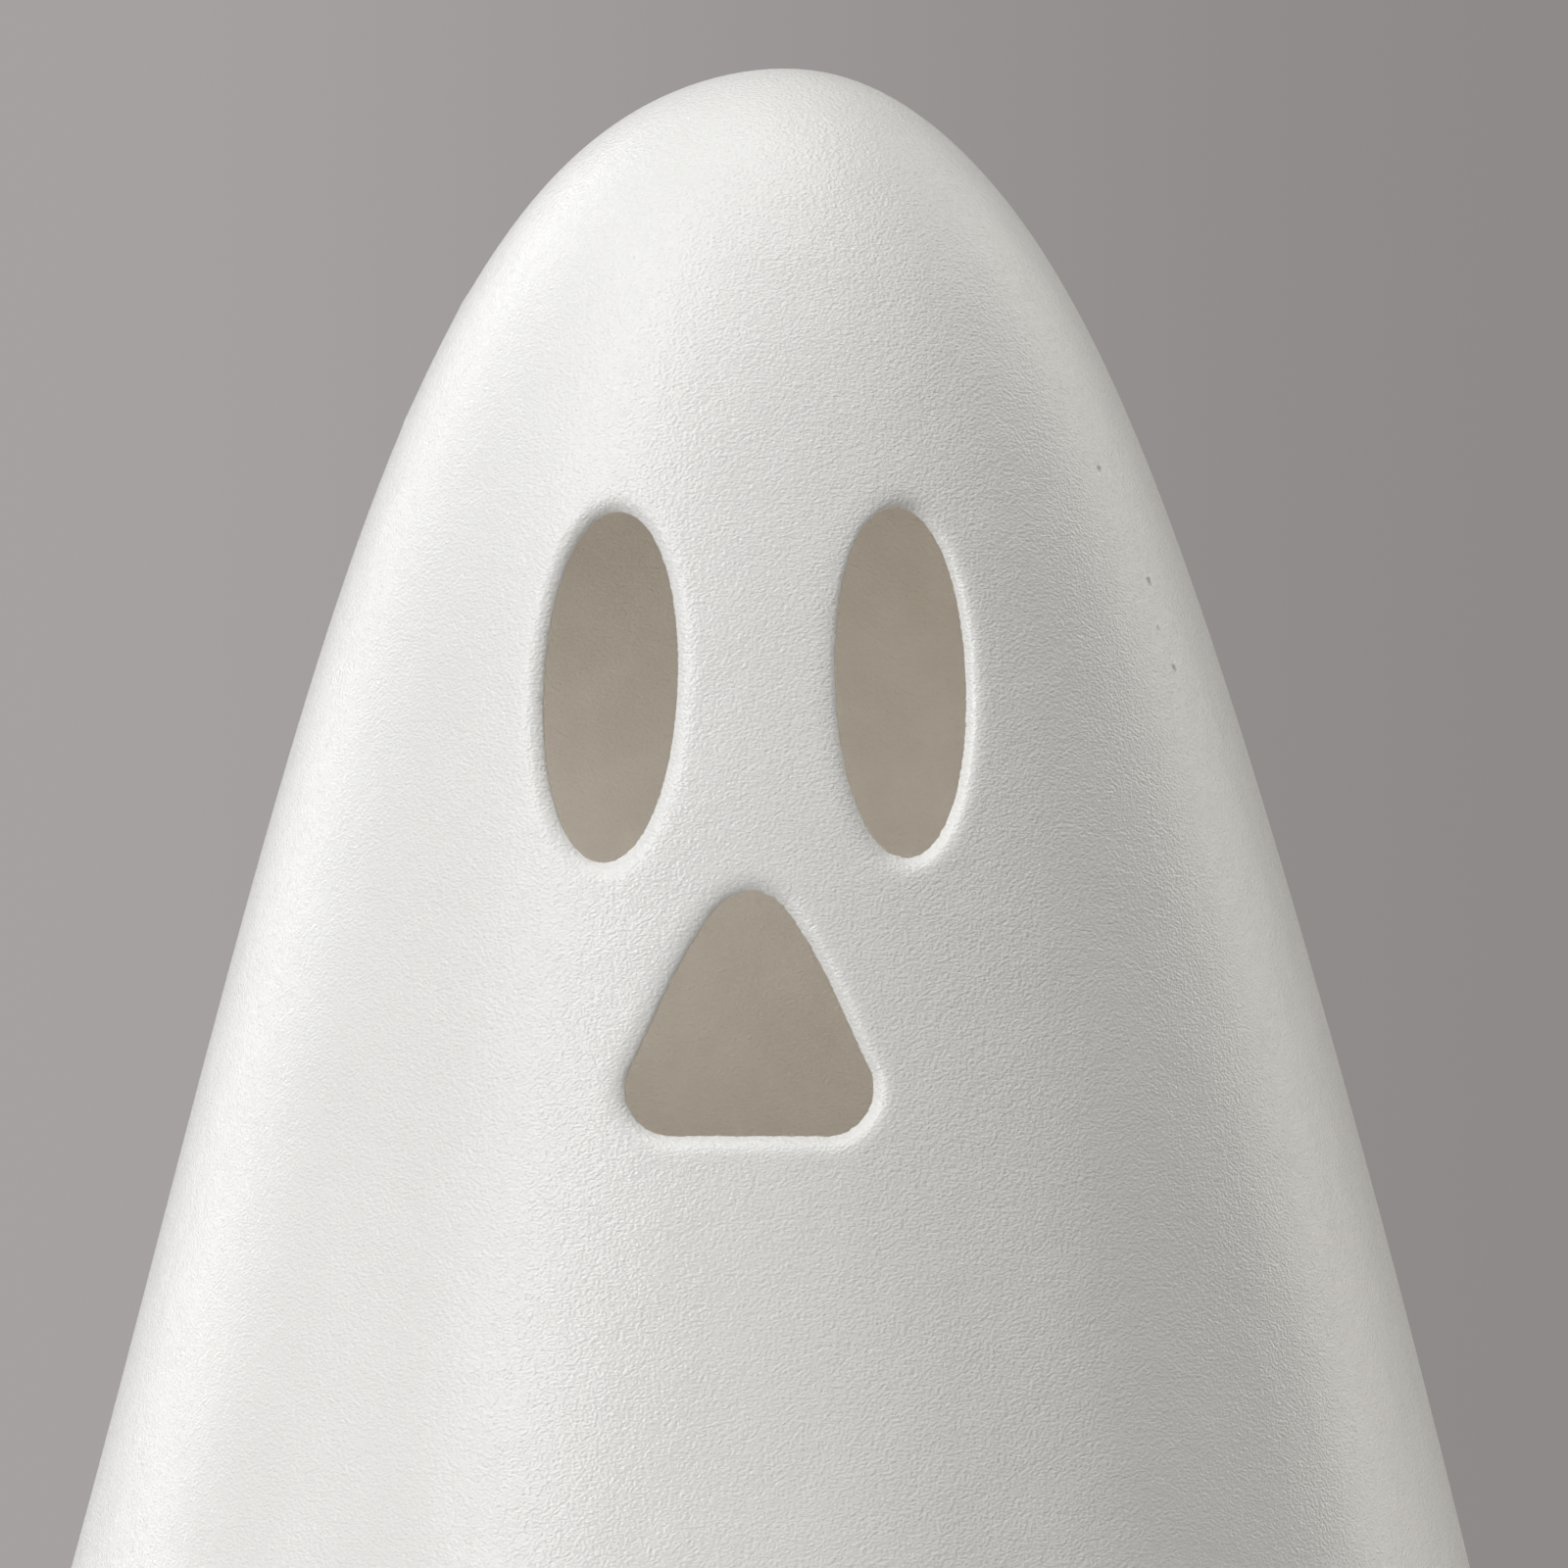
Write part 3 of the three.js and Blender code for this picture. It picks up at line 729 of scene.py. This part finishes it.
def close_foot(work, outer):
    """Rounds the hem, then runs flat to the recess under the foot and closes it."""
    rings = [outer.numbers[-1]]
    for turn in np.linspace(0, RIGHT_ANGLE, 6)[1:]:
        height = FOOT_LEVEL + HEM_ROUND * (1 - math.sin(turn))
        radius = drape_radius(outer.angles, HEIGHT - height) - HEM_ROUND * (1 - math.cos(turn))
        rings.append(work.add(around(radius, outer.angles, height)))
    recess = FOOT_EDGE - 2 * (PAD_RADIUS + PAD_MARGIN)
    edge = recess + FOOT_ROUND
    for share in (0.35, 0.7):
        rings.append(work.add(around(radius + (edge - radius) * share, outer.angles, FOOT_LEVEL)))
    inner_edge = recess - RECESS_DRAFT - FOOT_ROUND
    profile = arc((edge, FOOT_LEVEL + FOOT_ROUND), FOOT_ROUND, -90, -160, 4)
    top = FOOT_LEVEL + RECESS_DEPTH
    profile += arc((inner_edge, top - FOOT_ROUND), FOOT_ROUND, 20, 90, 4)
    profile += [(inner_edge * share, top) for share in (0.8, 0.6, 0.4, 0.2, 0.08)]
    rings += [work.add(around(r, outer.angles, z)) for r, z in profile]
    work.tunnel(rings)
    work.fan(rings[-1], (0, 0, top))


def close_floor(work, inner, moat_level):
    """Turns the hollow's wall into the moat, up to the raised floor, and closes it."""
    rings = [inner.numbers[-1]]
    last = wall_point(inner.angles, inner.shares[-1], WALL)
    radius = np.hypot(last[:, 0], last[:, 1])
    drop = last[:, 2] - moat_level
    for turn in np.linspace(0, RIGHT_ANGLE, 4)[1:]:
        ring_radius = radius - drop * (1 - math.cos(turn))
        level = moat_level + drop * (1 - math.sin(turn))
        rings.append(work.add(around(ring_radius, inner.angles, level)))
    radius = radius - drop
    plateau = FOOT_EDGE - 2 * (PAD_RADIUS + PAD_MARGIN) + WALL
    foot_of_step = plateau + RECESS_DRAFT
    rings.append(work.add(around((radius + foot_of_step) / 2, inner.angles, moat_level)))
    soften = FLOOR_BEND / 5
    profile = [(foot_of_step + FLOOR_BEND, moat_level), (foot_of_step, moat_level + soften)]
    profile += [(plateau, FLOOR_LEVEL - soften), (plateau - FLOOR_BEND, FLOOR_LEVEL)]
    profile += [(plateau * share, FLOOR_LEVEL) for share in (0.85, 0.65, 0.45, 0.25, 0.1)]
    rings += [work.add(around(r, inner.angles, z)) for r, z in profile]
    work.tunnel(rings)
    work.fan(rings[-1], (0, 0, FLOOR_LEVEL))


# Materials

class Nodes:
    """A material's node tree, built step by step."""

    def __init__(self, name):
        self.material = bpy.data.materials.new(name)
        self.material.use_nodes = True
        self.tree = self.material.node_tree
        self.shader = self.tree.nodes["Principled BSDF"]
        self.place = self.tree.nodes.new("ShaderNodeTexCoord").outputs["Object"]

    def link(self, value, socket):
        if isinstance(value, bpy.types.NodeSocket):
            self.tree.links.new(value, socket)
        else:
            socket.default_value = value

    def set(self, **values):
        """Sets or links the shader's sockets, named with underscores for spaces."""
        for key, value in values.items():
            self.link(value, self.shader.inputs[key.replace("_", " ")])

    def stretched(self, x, y, z):
        node = self.tree.nodes.new("ShaderNodeMapping")
        self.link(self.place, node.inputs["Vector"])
        node.inputs["Scale"].default_value = (x, y, z)
        return node.outputs["Vector"]

    def noise(self, size, detail=3, roughness=0.5, place=None):
        """Noise whose features are about that long."""
        node = self.tree.nodes.new("ShaderNodeTexNoise")
        self.link(place or self.place, node.inputs["Vector"])
        node.inputs["Scale"].default_value = 1 / size
        node.inputs["Detail"].default_value = detail
        node.inputs["Roughness"].default_value = roughness
        return node.outputs["Fac"]

    def cells(self, size, place=None):
        """Cells about that wide, 0 at their middles."""
        node = self.tree.nodes.new("ShaderNodeTexVoronoi")
        self.link(place or self.place, node.inputs["Vector"])
        node.inputs["Scale"].default_value = 1 / size
        return node.outputs["Distance"]

    def blend(self, factor, low, high):
        node = self.tree.nodes.new("ShaderNodeMix")
        node.data_type = "RGBA"
        self.link(factor, node.inputs["Factor"])
        self.link(low if not isinstance(low, tuple) else (*low, 1), node.inputs["A"])
        self.link(high if not isinstance(high, tuple) else (*high, 1), node.inputs["B"])
        return [o for o in node.outputs if o.type == "RGBA"][0]

    def ramp(self, value, start, end, low=0.0, high=1.0):
        """Maps start to end onto low to high, smoothly, and holds beyond them."""
        node = self.tree.nodes.new("ShaderNodeMapRange")
        node.interpolation_type = "SMOOTHSTEP"
        self.link(value, node.inputs["Value"])
        for key, number in (("From Min", start), ("From Max", end), ("To Min", low), ("To Max", high)):
            node.inputs[key].default_value = number
        return node.outputs["Result"]

    def math(self, operation, *values):
        node = self.tree.nodes.new("ShaderNodeMath")
        node.operation = operation
        for value, socket in zip(values, node.inputs):
            self.link(value, socket)
        return node.outputs["Value"]

    def attribute(self, name):
        node = self.tree.nodes.new("ShaderNodeAttribute")
        node.attribute_name = name
        return node.outputs["Fac"]

    def bump(self, height, distance, strength=1.0, below=None):
        node = self.tree.nodes.new("ShaderNodeBump")
        node.inputs["Strength"].default_value = strength
        node.inputs["Distance"].default_value = distance
        self.link(height, node.inputs["Height"])
        if below is not None:
            self.link(below, node.inputs["Normal"])
        return node.outputs["Normal"]


def ceramic():
    """Matt white slip, finely pebbled outside, a little warmer and smoother in the hollow."""
    n = Nodes("matt_ceramic")
    flattened = n.stretched(0.85, 0.85, 1.15)
    grain = n.cells(0.32 * MM, flattened)
    fine = n.noise(0.2 * MM, 1, 0.5, flattened)
    soft = n.noise(4 * MM, 2)
    cloud = n.noise(22 * MM, 2)
    # The outside is darker where the fine noise is low, which is also where the pebbled bump sinks, and the
    # cloud varies its tone at random.
    pit_darkened_and_clouded = n.math("ADD", n.ramp(fine, 0.3, 0.7, 0.0, 0.5), n.ramp(cloud, 0.3, 0.7, 0.0, 0.5))
    outside = n.blend(pit_darkened_and_clouded, (0.798, 0.796, 0.786), (0.840, 0.842, 0.833))
    inside = n.blend(n.ramp(soft, 0.3, 0.7), (0.795, 0.75, 0.68), (0.835, 0.79, 0.72))
    hollow = n.attribute("hollow")
    n.set(Base_Color=n.blend(hollow, outside, inside))
    n.set(Roughness=n.ramp(fine, 0.3, 0.7, 0.20, 0.27))
    n.set(Specular_IOR_Level=0.5)
    pebbles = n.math("SUBTRACT", fine, n.math("MULTIPLY", grain, 0.3))
    lumps = n.bump(soft, 0.10 * MM)
    n.set(Normal=n.bump(pebbles, 0.08 * MM, 1.0, lumps))
    return n.material


def rubber():
    """Dull grey moulded rubber, dusty in patches."""
    n = Nodes("grey_rubber")
    mottle = n.noise(1.2 * MM)
    n.set(Base_Color=n.blend(n.ramp(mottle, 0.35, 0.65), (0.40, 0.385, 0.355), (0.50, 0.48, 0.445)))
    n.set(Roughness=n.ramp(mottle, 0.3, 0.7, 0.6, 0.8))
    n.set(Normal=n.bump(n.noise(0.25 * MM), 0.03 * MM))
    return n.material


def aluminium():
    """Thin drawn sheet with fine lines round it and cloudy handling marks."""
    n = Nodes("thin_aluminium")
    lines = n.noise(0.5 * MM, 4, 0.6, n.stretched(0.15, 0.15, 3))
    cloud = n.noise(5 * MM)
    n.set(Base_Color=n.blend(n.ramp(cloud, 0.35, 0.65), (0.74, 0.75, 0.765), (0.83, 0.835, 0.84)))
    n.set(Metallic=1.0)
    n.set(Roughness=n.math("ADD", n.ramp(cloud, 0.3, 0.7, 0.2, 0.32), n.ramp(lines, 0.3, 0.7, 0.0, 0.1)))
    n.set(Normal=n.bump(lines, 0.03 * MM, 0.6, n.bump(cloud, 0.3 * MM)))
    return n.material


def paraffin():
    """Cast wax: creamy, faintly clouded, with the soft ripple of a skin that set first."""
    n = Nodes("cast_wax")
    cloud = n.noise(3 * MM, 4)
    frost = n.noise(0.4 * MM, 3)
    n.set(Base_Color=n.blend(n.ramp(cloud, 0.35, 0.65), (0.88, 0.845, 0.755), (0.905, 0.875, 0.795)))
    n.set(Roughness=n.ramp(frost, 0.3, 0.7, 0.3, 0.5))
    n.set(Subsurface_Weight=0.35, Subsurface_Radius=(1.0, 0.75, 0.5), Subsurface_Scale=1.5 * MM)
    n.set(Normal=n.bump(frost, 0.015 * MM, 1.0, n.bump(cloud, 0.25 * MM)))
    return n.material


def tinplate():
    """Stamped tinned sheet, dulled in clouds."""
    n = Nodes("tinned_sheet")
    cloud = n.noise(1.5 * MM)
    n.set(Base_Color=n.blend(n.ramp(cloud, 0.35, 0.65), (0.52, 0.52, 0.5), (0.63, 0.63, 0.61)))
    n.set(Metallic=1.0, Roughness=n.ramp(cloud, 0.3, 0.7, 0.3, 0.48))
    n.set(Normal=n.bump(n.noise(0.3 * MM), 0.01 * MM))
    return n.material


def cotton():
    """Waxed cotton yarn, its fibres along the strand, greyer in patches."""
    n = Nodes("waxed_cotton")
    fibres = n.noise(0.12 * MM, 4, 0.6, n.stretched(2, 2, 0.5))
    tone = n.noise(0.8 * MM)
    n.set(Base_Color=n.blend(n.ramp(tone, 0.3, 0.7), (0.72, 0.66, 0.54), (0.86, 0.82, 0.72)))
    n.set(Roughness=n.ramp(fibres, 0.3, 0.7, 0.6, 0.85))
    n.set(Normal=n.bump(fibres, 0.05 * MM))
    return n.material


# The smaller pieces

def foot_pads(finish):
    """Bumpers with soft edges and a shallow dimple in the face that touches the table."""
    for node in [name for name in frame["nodes"] if name.startswith("foot_pad")]:
        low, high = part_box(node)
        radius, thickness = (high.x - low.x) / 2, high.z - low.z
        profile = [(share * radius, depth) for share, depth in PAD_DIMPLE]
        profile += arc((radius - PAD_EDGE, PAD_EDGE), PAD_EDGE, -90, 0)
        profile += arc((radius - PAD_EDGE, thickness - PAD_EDGE), PAD_EDGE, 0, 80)
        profile += [(radius - PAD_FACE_INSET, thickness), (0, thickness)]
        centre = ((low.x + high.x) / 2, (low.y + high.y) / 2, low.z)
        pad = turned(node + "_bumper", profile, centre, columns=64)
        pad.data.materials.append(finish)
        stand_for(pad, "ghost", "rubber", node)


def cup_radius(height):
    """Outer radius of the cup's wall at a height above its underside."""
    return CUP_RADIUS - CUP_TAPER * (1 - height / CUP_HEIGHT)


def cup_flutes(radius, angles, height):
    """Faint uneven pleats in the wall, none at the rim and the floor."""
    wall = radius > cup_radius(0) - CUP_WALL - CUP_BASE_ROUND / 4
    rise = max(0.0, math.sin(math.pi * (height - CUP_BASE_ROUND) / (CUP_HEIGHT - 3 * CUP_RIM)))
    pleats = np.cos(FLUTES * angles) * (0.6 + 0.4 * np.sin(FLUTE_GROUPS * angles))
    dents = 0.5 * np.sin(DENTS * angles + 1)
    return FLUTE_DEPTH * wall * rise * (pleats + dents)


def cup(finish):
    """Drawn from one sheet, with a stamped ring below, pleats in its wall and a curled rim."""
    rim_level = CUP_HEIGHT - CUP_RIM
    bend = (cup_radius(CUP_BASE_ROUND) - CUP_BASE_ROUND, CUP_BASE_ROUND)
    levels = np.linspace(*CUP_WALL_SHARES, CUP_WALL_ROWS) * CUP_HEIGHT
    bead = arc((CUP_RADIUS, rim_level), CUP_RIM, -125, 150, 18)
    profile = [(0, 0), (CUP_HUB, 0)]
    profile += [(CUP_RING + across * MM, depth * CUP_RING_DEPTH) for across, depth in CUP_RING_PROFILE]
    profile += arc(bend, CUP_BASE_ROUND, -90, 0, 8)
    profile += [(cup_radius(z), z) for z in levels] + bead
    profile += [(cup_radius(z) - CUP_WALL, z) for z in levels[::-1]]
    profile += arc(bend, CUP_BASE_ROUND - CUP_WALL, 0, -90, 8) + [(0, CUP_WALL)]
    made = turned("tealight_cup_sheet", profile, (0, 0, FLOOR_LEVEL), columns=384, shape=cup_flutes)
    made.data.materials.append(finish)
    stand_for(made, "tealight", "aluminium", "tealight_cup")


def wax(finish):
    """Cast round the wick and its sustainer. It sank as it set, and climbs the cup and the wick."""
    top = CUP_HEIGHT - WAX_BELOW_RIM
    gap = CUP_WALL + POUR_GAP
    corner = cup_radius(CUP_BASE_ROUND) - CUP_BASE_ROUND
    wick_hole = WICK_RADIUS + POUR_GAP
    neck_hole = WICK_RADIUS + CRIMP_GAP + SUSTAINER_SHEET + POUR_GAP
    disc_hole = SUSTAINER_RADIUS + POUR_GAP
    neck_top = CUP_WALL + SUSTAINER_SHEET + SUSTAINER_NECK + POUR_GAP
    disc_top = CUP_WALL + SUSTAINER_SHEET + POUR_GAP
    outer_edge = cup_radius(top) - gap - WAX_MENISCUS
    inner_edge = wick_hole + WAX_MENISCUS
    profile = [(disc_hole, CUP_WALL), (corner, CUP_WALL)]
    profile += arc((corner, CUP_BASE_ROUND), CUP_BASE_ROUND - gap, -90, 0)
    profile += arc((outer_edge, top + WAX_MENISCUS), WAX_MENISCUS, 0, -90)
    for share in np.linspace(0, 1, 16)[1:-1]:
        ripple = 1 + WAX_RIPPLE * math.cos(WAX_RIPPLES * TURN * share)
        sunk = WAX_DISH * math.sin(math.pi * share) * ripple
        profile.append((outer_edge + (inner_edge - outer_edge) * share, top - sunk))
    profile += arc((inner_edge, top + WAX_MENISCUS), WAX_MENISCUS, -90, -180)
    profile += [(wick_hole, neck_top), (neck_hole, neck_top)]
    profile += [(neck_hole, disc_top), (disc_hole, disc_top)]
    made = turned("tealight_wax_cast", profile, (0, 0, FLOOR_LEVEL), columns=160)
    made.data.materials.append(finish)
    stand_for(made, "tealight", "wax", "tealight_wax")


def wick_line(count):
    """Points along the wick's middle: up through the wax, then leaning over."""
    leave = CUP_HEIGHT - WAX_BELOW_RIM + WAX_MENISCUS
    end = leave + WICK_FREE_LENGTH - WAX_MENISCUS
    t = np.linspace(0, 1, count)
    z = CUP_WALL + (end - CUP_WALL) * t
    free = np.clip((z - leave) / (end - leave), 0, 1)
    x = WICK_BEND * free**2
    return np.stack([x, np.zeros(count), z + FLOOR_LEVEL], -1)


def strand(work, phase, count=220, sides=12):
    """One yarn of the plait, its plies twisted round each other, tapered at its cut end."""
    middle = wick_line(count)
    turn = TURN * (middle[:, 2] / PLAIT_PITCH) + phase
    swing = WICK_RADIUS - STRAND_RADIUS - PLAIT_INSET
    crossing = swing * PLAIT_FLATNESS
    path = middle + np.stack([swing * np.sin(turn), crossing * np.sin(2 * turn), np.zeros(count)], -1)
    tangent = np.gradient(path, axis=0)
    tangent /= np.linalg.norm(tangent, axis=1, keepdims=True)
    across = np.cross((0, 1, 0), tangent)
    across /= np.linalg.norm(across, axis=1, keepdims=True)
    away = np.cross(tangent, across)
    left = np.linspace(1, 0, count) * (middle[-1, 2] - middle[0, 2])
    size = STRAND_RADIUS * (1 - CUT_TAPER * np.exp(-left / CUT_TAPER_LENGTH))
    angles = full_turn(sides)
    rings = []
    for k in range(count):
        ply = 1 + PLY_DEPTH * np.cos(PLIES * angles + PLY_TWIST * turn[k]) - PLY_DEPTH
        ring = np.outer(np.cos(angles) * ply, across[k]) + np.outer(np.sin(angles) * ply, away[k])
        rings.append(work.add(path[k] + size[k] * ring))
    work.tunnel(rings)
    work.fan(rings[0], path[0])
    work.fan(rings[-1], path[-1])


def wick(finish):
    work = Gathered()
    for k in range(STRANDS):
        strand(work, TURN * k / STRANDS)
    made = work.build("tealight_wick_plait")
    made.data.materials.append(finish)
    stand_for(made, "tealight", "cotton", "tealight_wick")


def dress_sustainer(finish):
    """The solid's own shape is right, so only its finish changes."""
    node = frame["nodes"]["wick_sustainer"]
    node.data.materials.clear()
    node.data.materials.append(finish)


shell = ghost_shell()
shell.data.materials.append(ceramic())
foot_pads(rubber())
cup(aluminium())
wax(paraffin())
wick(cotton())
dress_sustainer(tinplate())


# Studio

def camera():
    span = PHOTO_SIDE / PIXELS_PER_METRE
    data = bpy.data.cameras.new("camera")
    data.sensor_width = 36
    data.lens = data.sensor_width * CAMERA_DISTANCE / span
    made = bpy.data.objects.new("camera", data)
    bpy.context.scene.collection.objects.link(made)
    a, e = CAMERA_AZIMUTH, CAMERA_ELEVATION
    back = Vector((math.sin(a) * math.cos(e), -math.cos(a) * math.cos(e), math.sin(e)))
    right = Vector((math.cos(a), math.sin(a), 0))
    aside = (PHOTO_SIDE / 2 - AXIS_PIXEL) / PIXELS_PER_METRE
    level = (TABLE_PIXEL - PHOTO_SIDE / 2) / PIXELS_PER_METRE
    target = right * aside + Vector((0, 0, level))
    made.location = target + back * CAMERA_DISTANCE
    made.rotation_mode = "QUATERNION"
    made.rotation_quaternion = (-back).to_track_quat("-Z", "Y")
    bpy.context.scene.camera = made


def lamp(name, azimuth, elevation, width, height, power, colour):
    """A soft panel that faces the ghost. Azimuth 0 is in front, 90 at +X, in degrees."""
    data = bpy.data.lights.new(name, "AREA")
    data.shape = "RECTANGLE"
    data.size = width
    data.size_y = height
    data.energy = power
    data.color = colour
    made = bpy.data.objects.new(name, data)
    a, e = math.radians(azimuth), math.radians(elevation)
    away = Vector((math.sin(a) * math.cos(e), -math.cos(a) * math.cos(e), math.sin(e)))
    made.location = away * LAMP_DISTANCE + Vector((0, 0, HEIGHT / 2))
    made.rotation_mode = "QUATERNION"
    made.rotation_quaternion = (-away).to_track_quat("-Z", "Y")
    bpy.context.scene.collection.objects.link(made)


def fill():
    """A weak light in the hollow, which is seen only by what it does."""
    data = bpy.data.lights.new("fill", "POINT")
    data.shadow_soft_size = FILL_RADIUS
    data.energy = FILL_POWER
    made = bpy.data.objects.new("fill", data)
    made.location = (-FILL_ASIDE, 0, FILL_LEVEL)
    made.visible_camera = False
    made.visible_glossy = False
    bpy.context.scene.collection.objects.link(made)


def world():
    """Even light for the object, and a grey wall behind it with painted light that makes it lighter to the
    left, wherever it is seen.
    """
    made = bpy.data.worlds.new("studio")
    made.use_nodes = True
    tree = made.node_tree
    tree.nodes.clear()
    out = tree.nodes.new("ShaderNodeOutputWorld")
    light = tree.nodes.new("ShaderNodeBackground")
    light.inputs["Strength"].default_value = WORLD_LIGHT
    light.inputs["Color"].default_value = (*WORLD_COLOUR, 1)
    wall = tree.nodes.new("ShaderNodeBackground")
    place = tree.nodes.new("ShaderNodeTexCoord")
    split = tree.nodes.new("ShaderNodeSeparateXYZ")
    tree.links.new(place.outputs["Generated"], split.inputs["Vector"])
    spread = tree.nodes.new("ShaderNodeMapRange")
    spread.interpolation_type = "SMOOTHSTEP"
    spread.inputs["From Min"].default_value = WALL_LEFT
    spread.inputs["From Max"].default_value = WALL_RIGHT
    tree.links.new(split.outputs["X"], spread.inputs["Value"])
    # Painted light and shade on the wall: lighter grey to the left, darker grey to the right.
    tone = tree.nodes.new("ShaderNodeMix")
    tone.data_type = "RGBA"
    tree.links.new(spread.outputs["Result"], tone.inputs["Factor"])
    low, high, mixed = tone.inputs[6], tone.inputs[7], tone.outputs[2]
    low.default_value = (*WALL_PAINTED_LIT_GREY, 1)
    high.default_value = (*WALL_PAINTED_SHADE_GREY, 1)
    tree.links.new(mixed, wall.inputs["Color"])
    path = tree.nodes.new("ShaderNodeLightPath")
    seen = path.outputs["Is Camera Ray"]
    for ray in ("Is Glossy Ray", "Is Transmission Ray"):
        either = tree.nodes.new("ShaderNodeMath")
        either.operation = "MAXIMUM"
        tree.links.new(seen, either.inputs[0])
        tree.links.new(path.outputs[ray], either.inputs[1])
        seen = either.outputs["Value"]
    mix = tree.nodes.new("ShaderNodeMixShader")
    tree.links.new(seen, mix.inputs["Fac"])
    tree.links.new(light.outputs["Background"], mix.inputs[1])
    tree.links.new(wall.outputs["Background"], mix.inputs[2])
    tree.links.new(mix.outputs["Shader"], out.inputs["Surface"])
    bpy.context.scene.world = made


def floor():
    """A pale round table top whose edge fades into the wall."""
    work = Gathered()
    radii = np.linspace(FLOOR_HUB, FLOOR_RADIUS, 14)
    rings = [work.add(around(r, full_turn(96), 0.0)) for r in radii]
    work.tunnel(rings)
    work.fan(rings[0], (0, 0, 0))
    made = work.build("floor")
    n = Nodes("pale_floor")
    mottle = n.ramp(n.noise(8 * MM, 4), 0.3, 0.7)
    n.set(Base_Color=n.blend(mottle, (0.60, 0.585, 0.57), (0.63, 0.615, 0.60)))
    n.set(Roughness=0.8)
    reach = n.tree.nodes.new("ShaderNodeVectorMath")
    reach.operation = "LENGTH"
    n.link(n.place, reach.inputs[0])
    n.set(Alpha=n.ramp(reach.outputs["Value"], FLOOR_FADE, FLOOR_RADIUS * 0.98, 1.0, 0.0))
    made.data.materials.append(n.material)


camera()
for azimuth, elevation, *rest in LAMPS:
    lamp(f"panel_{azimuth}_{elevation}", azimuth, elevation, *rest)
fill()
world()
floor()
bpy.context.scene.view_settings.view_transform = "Standard"
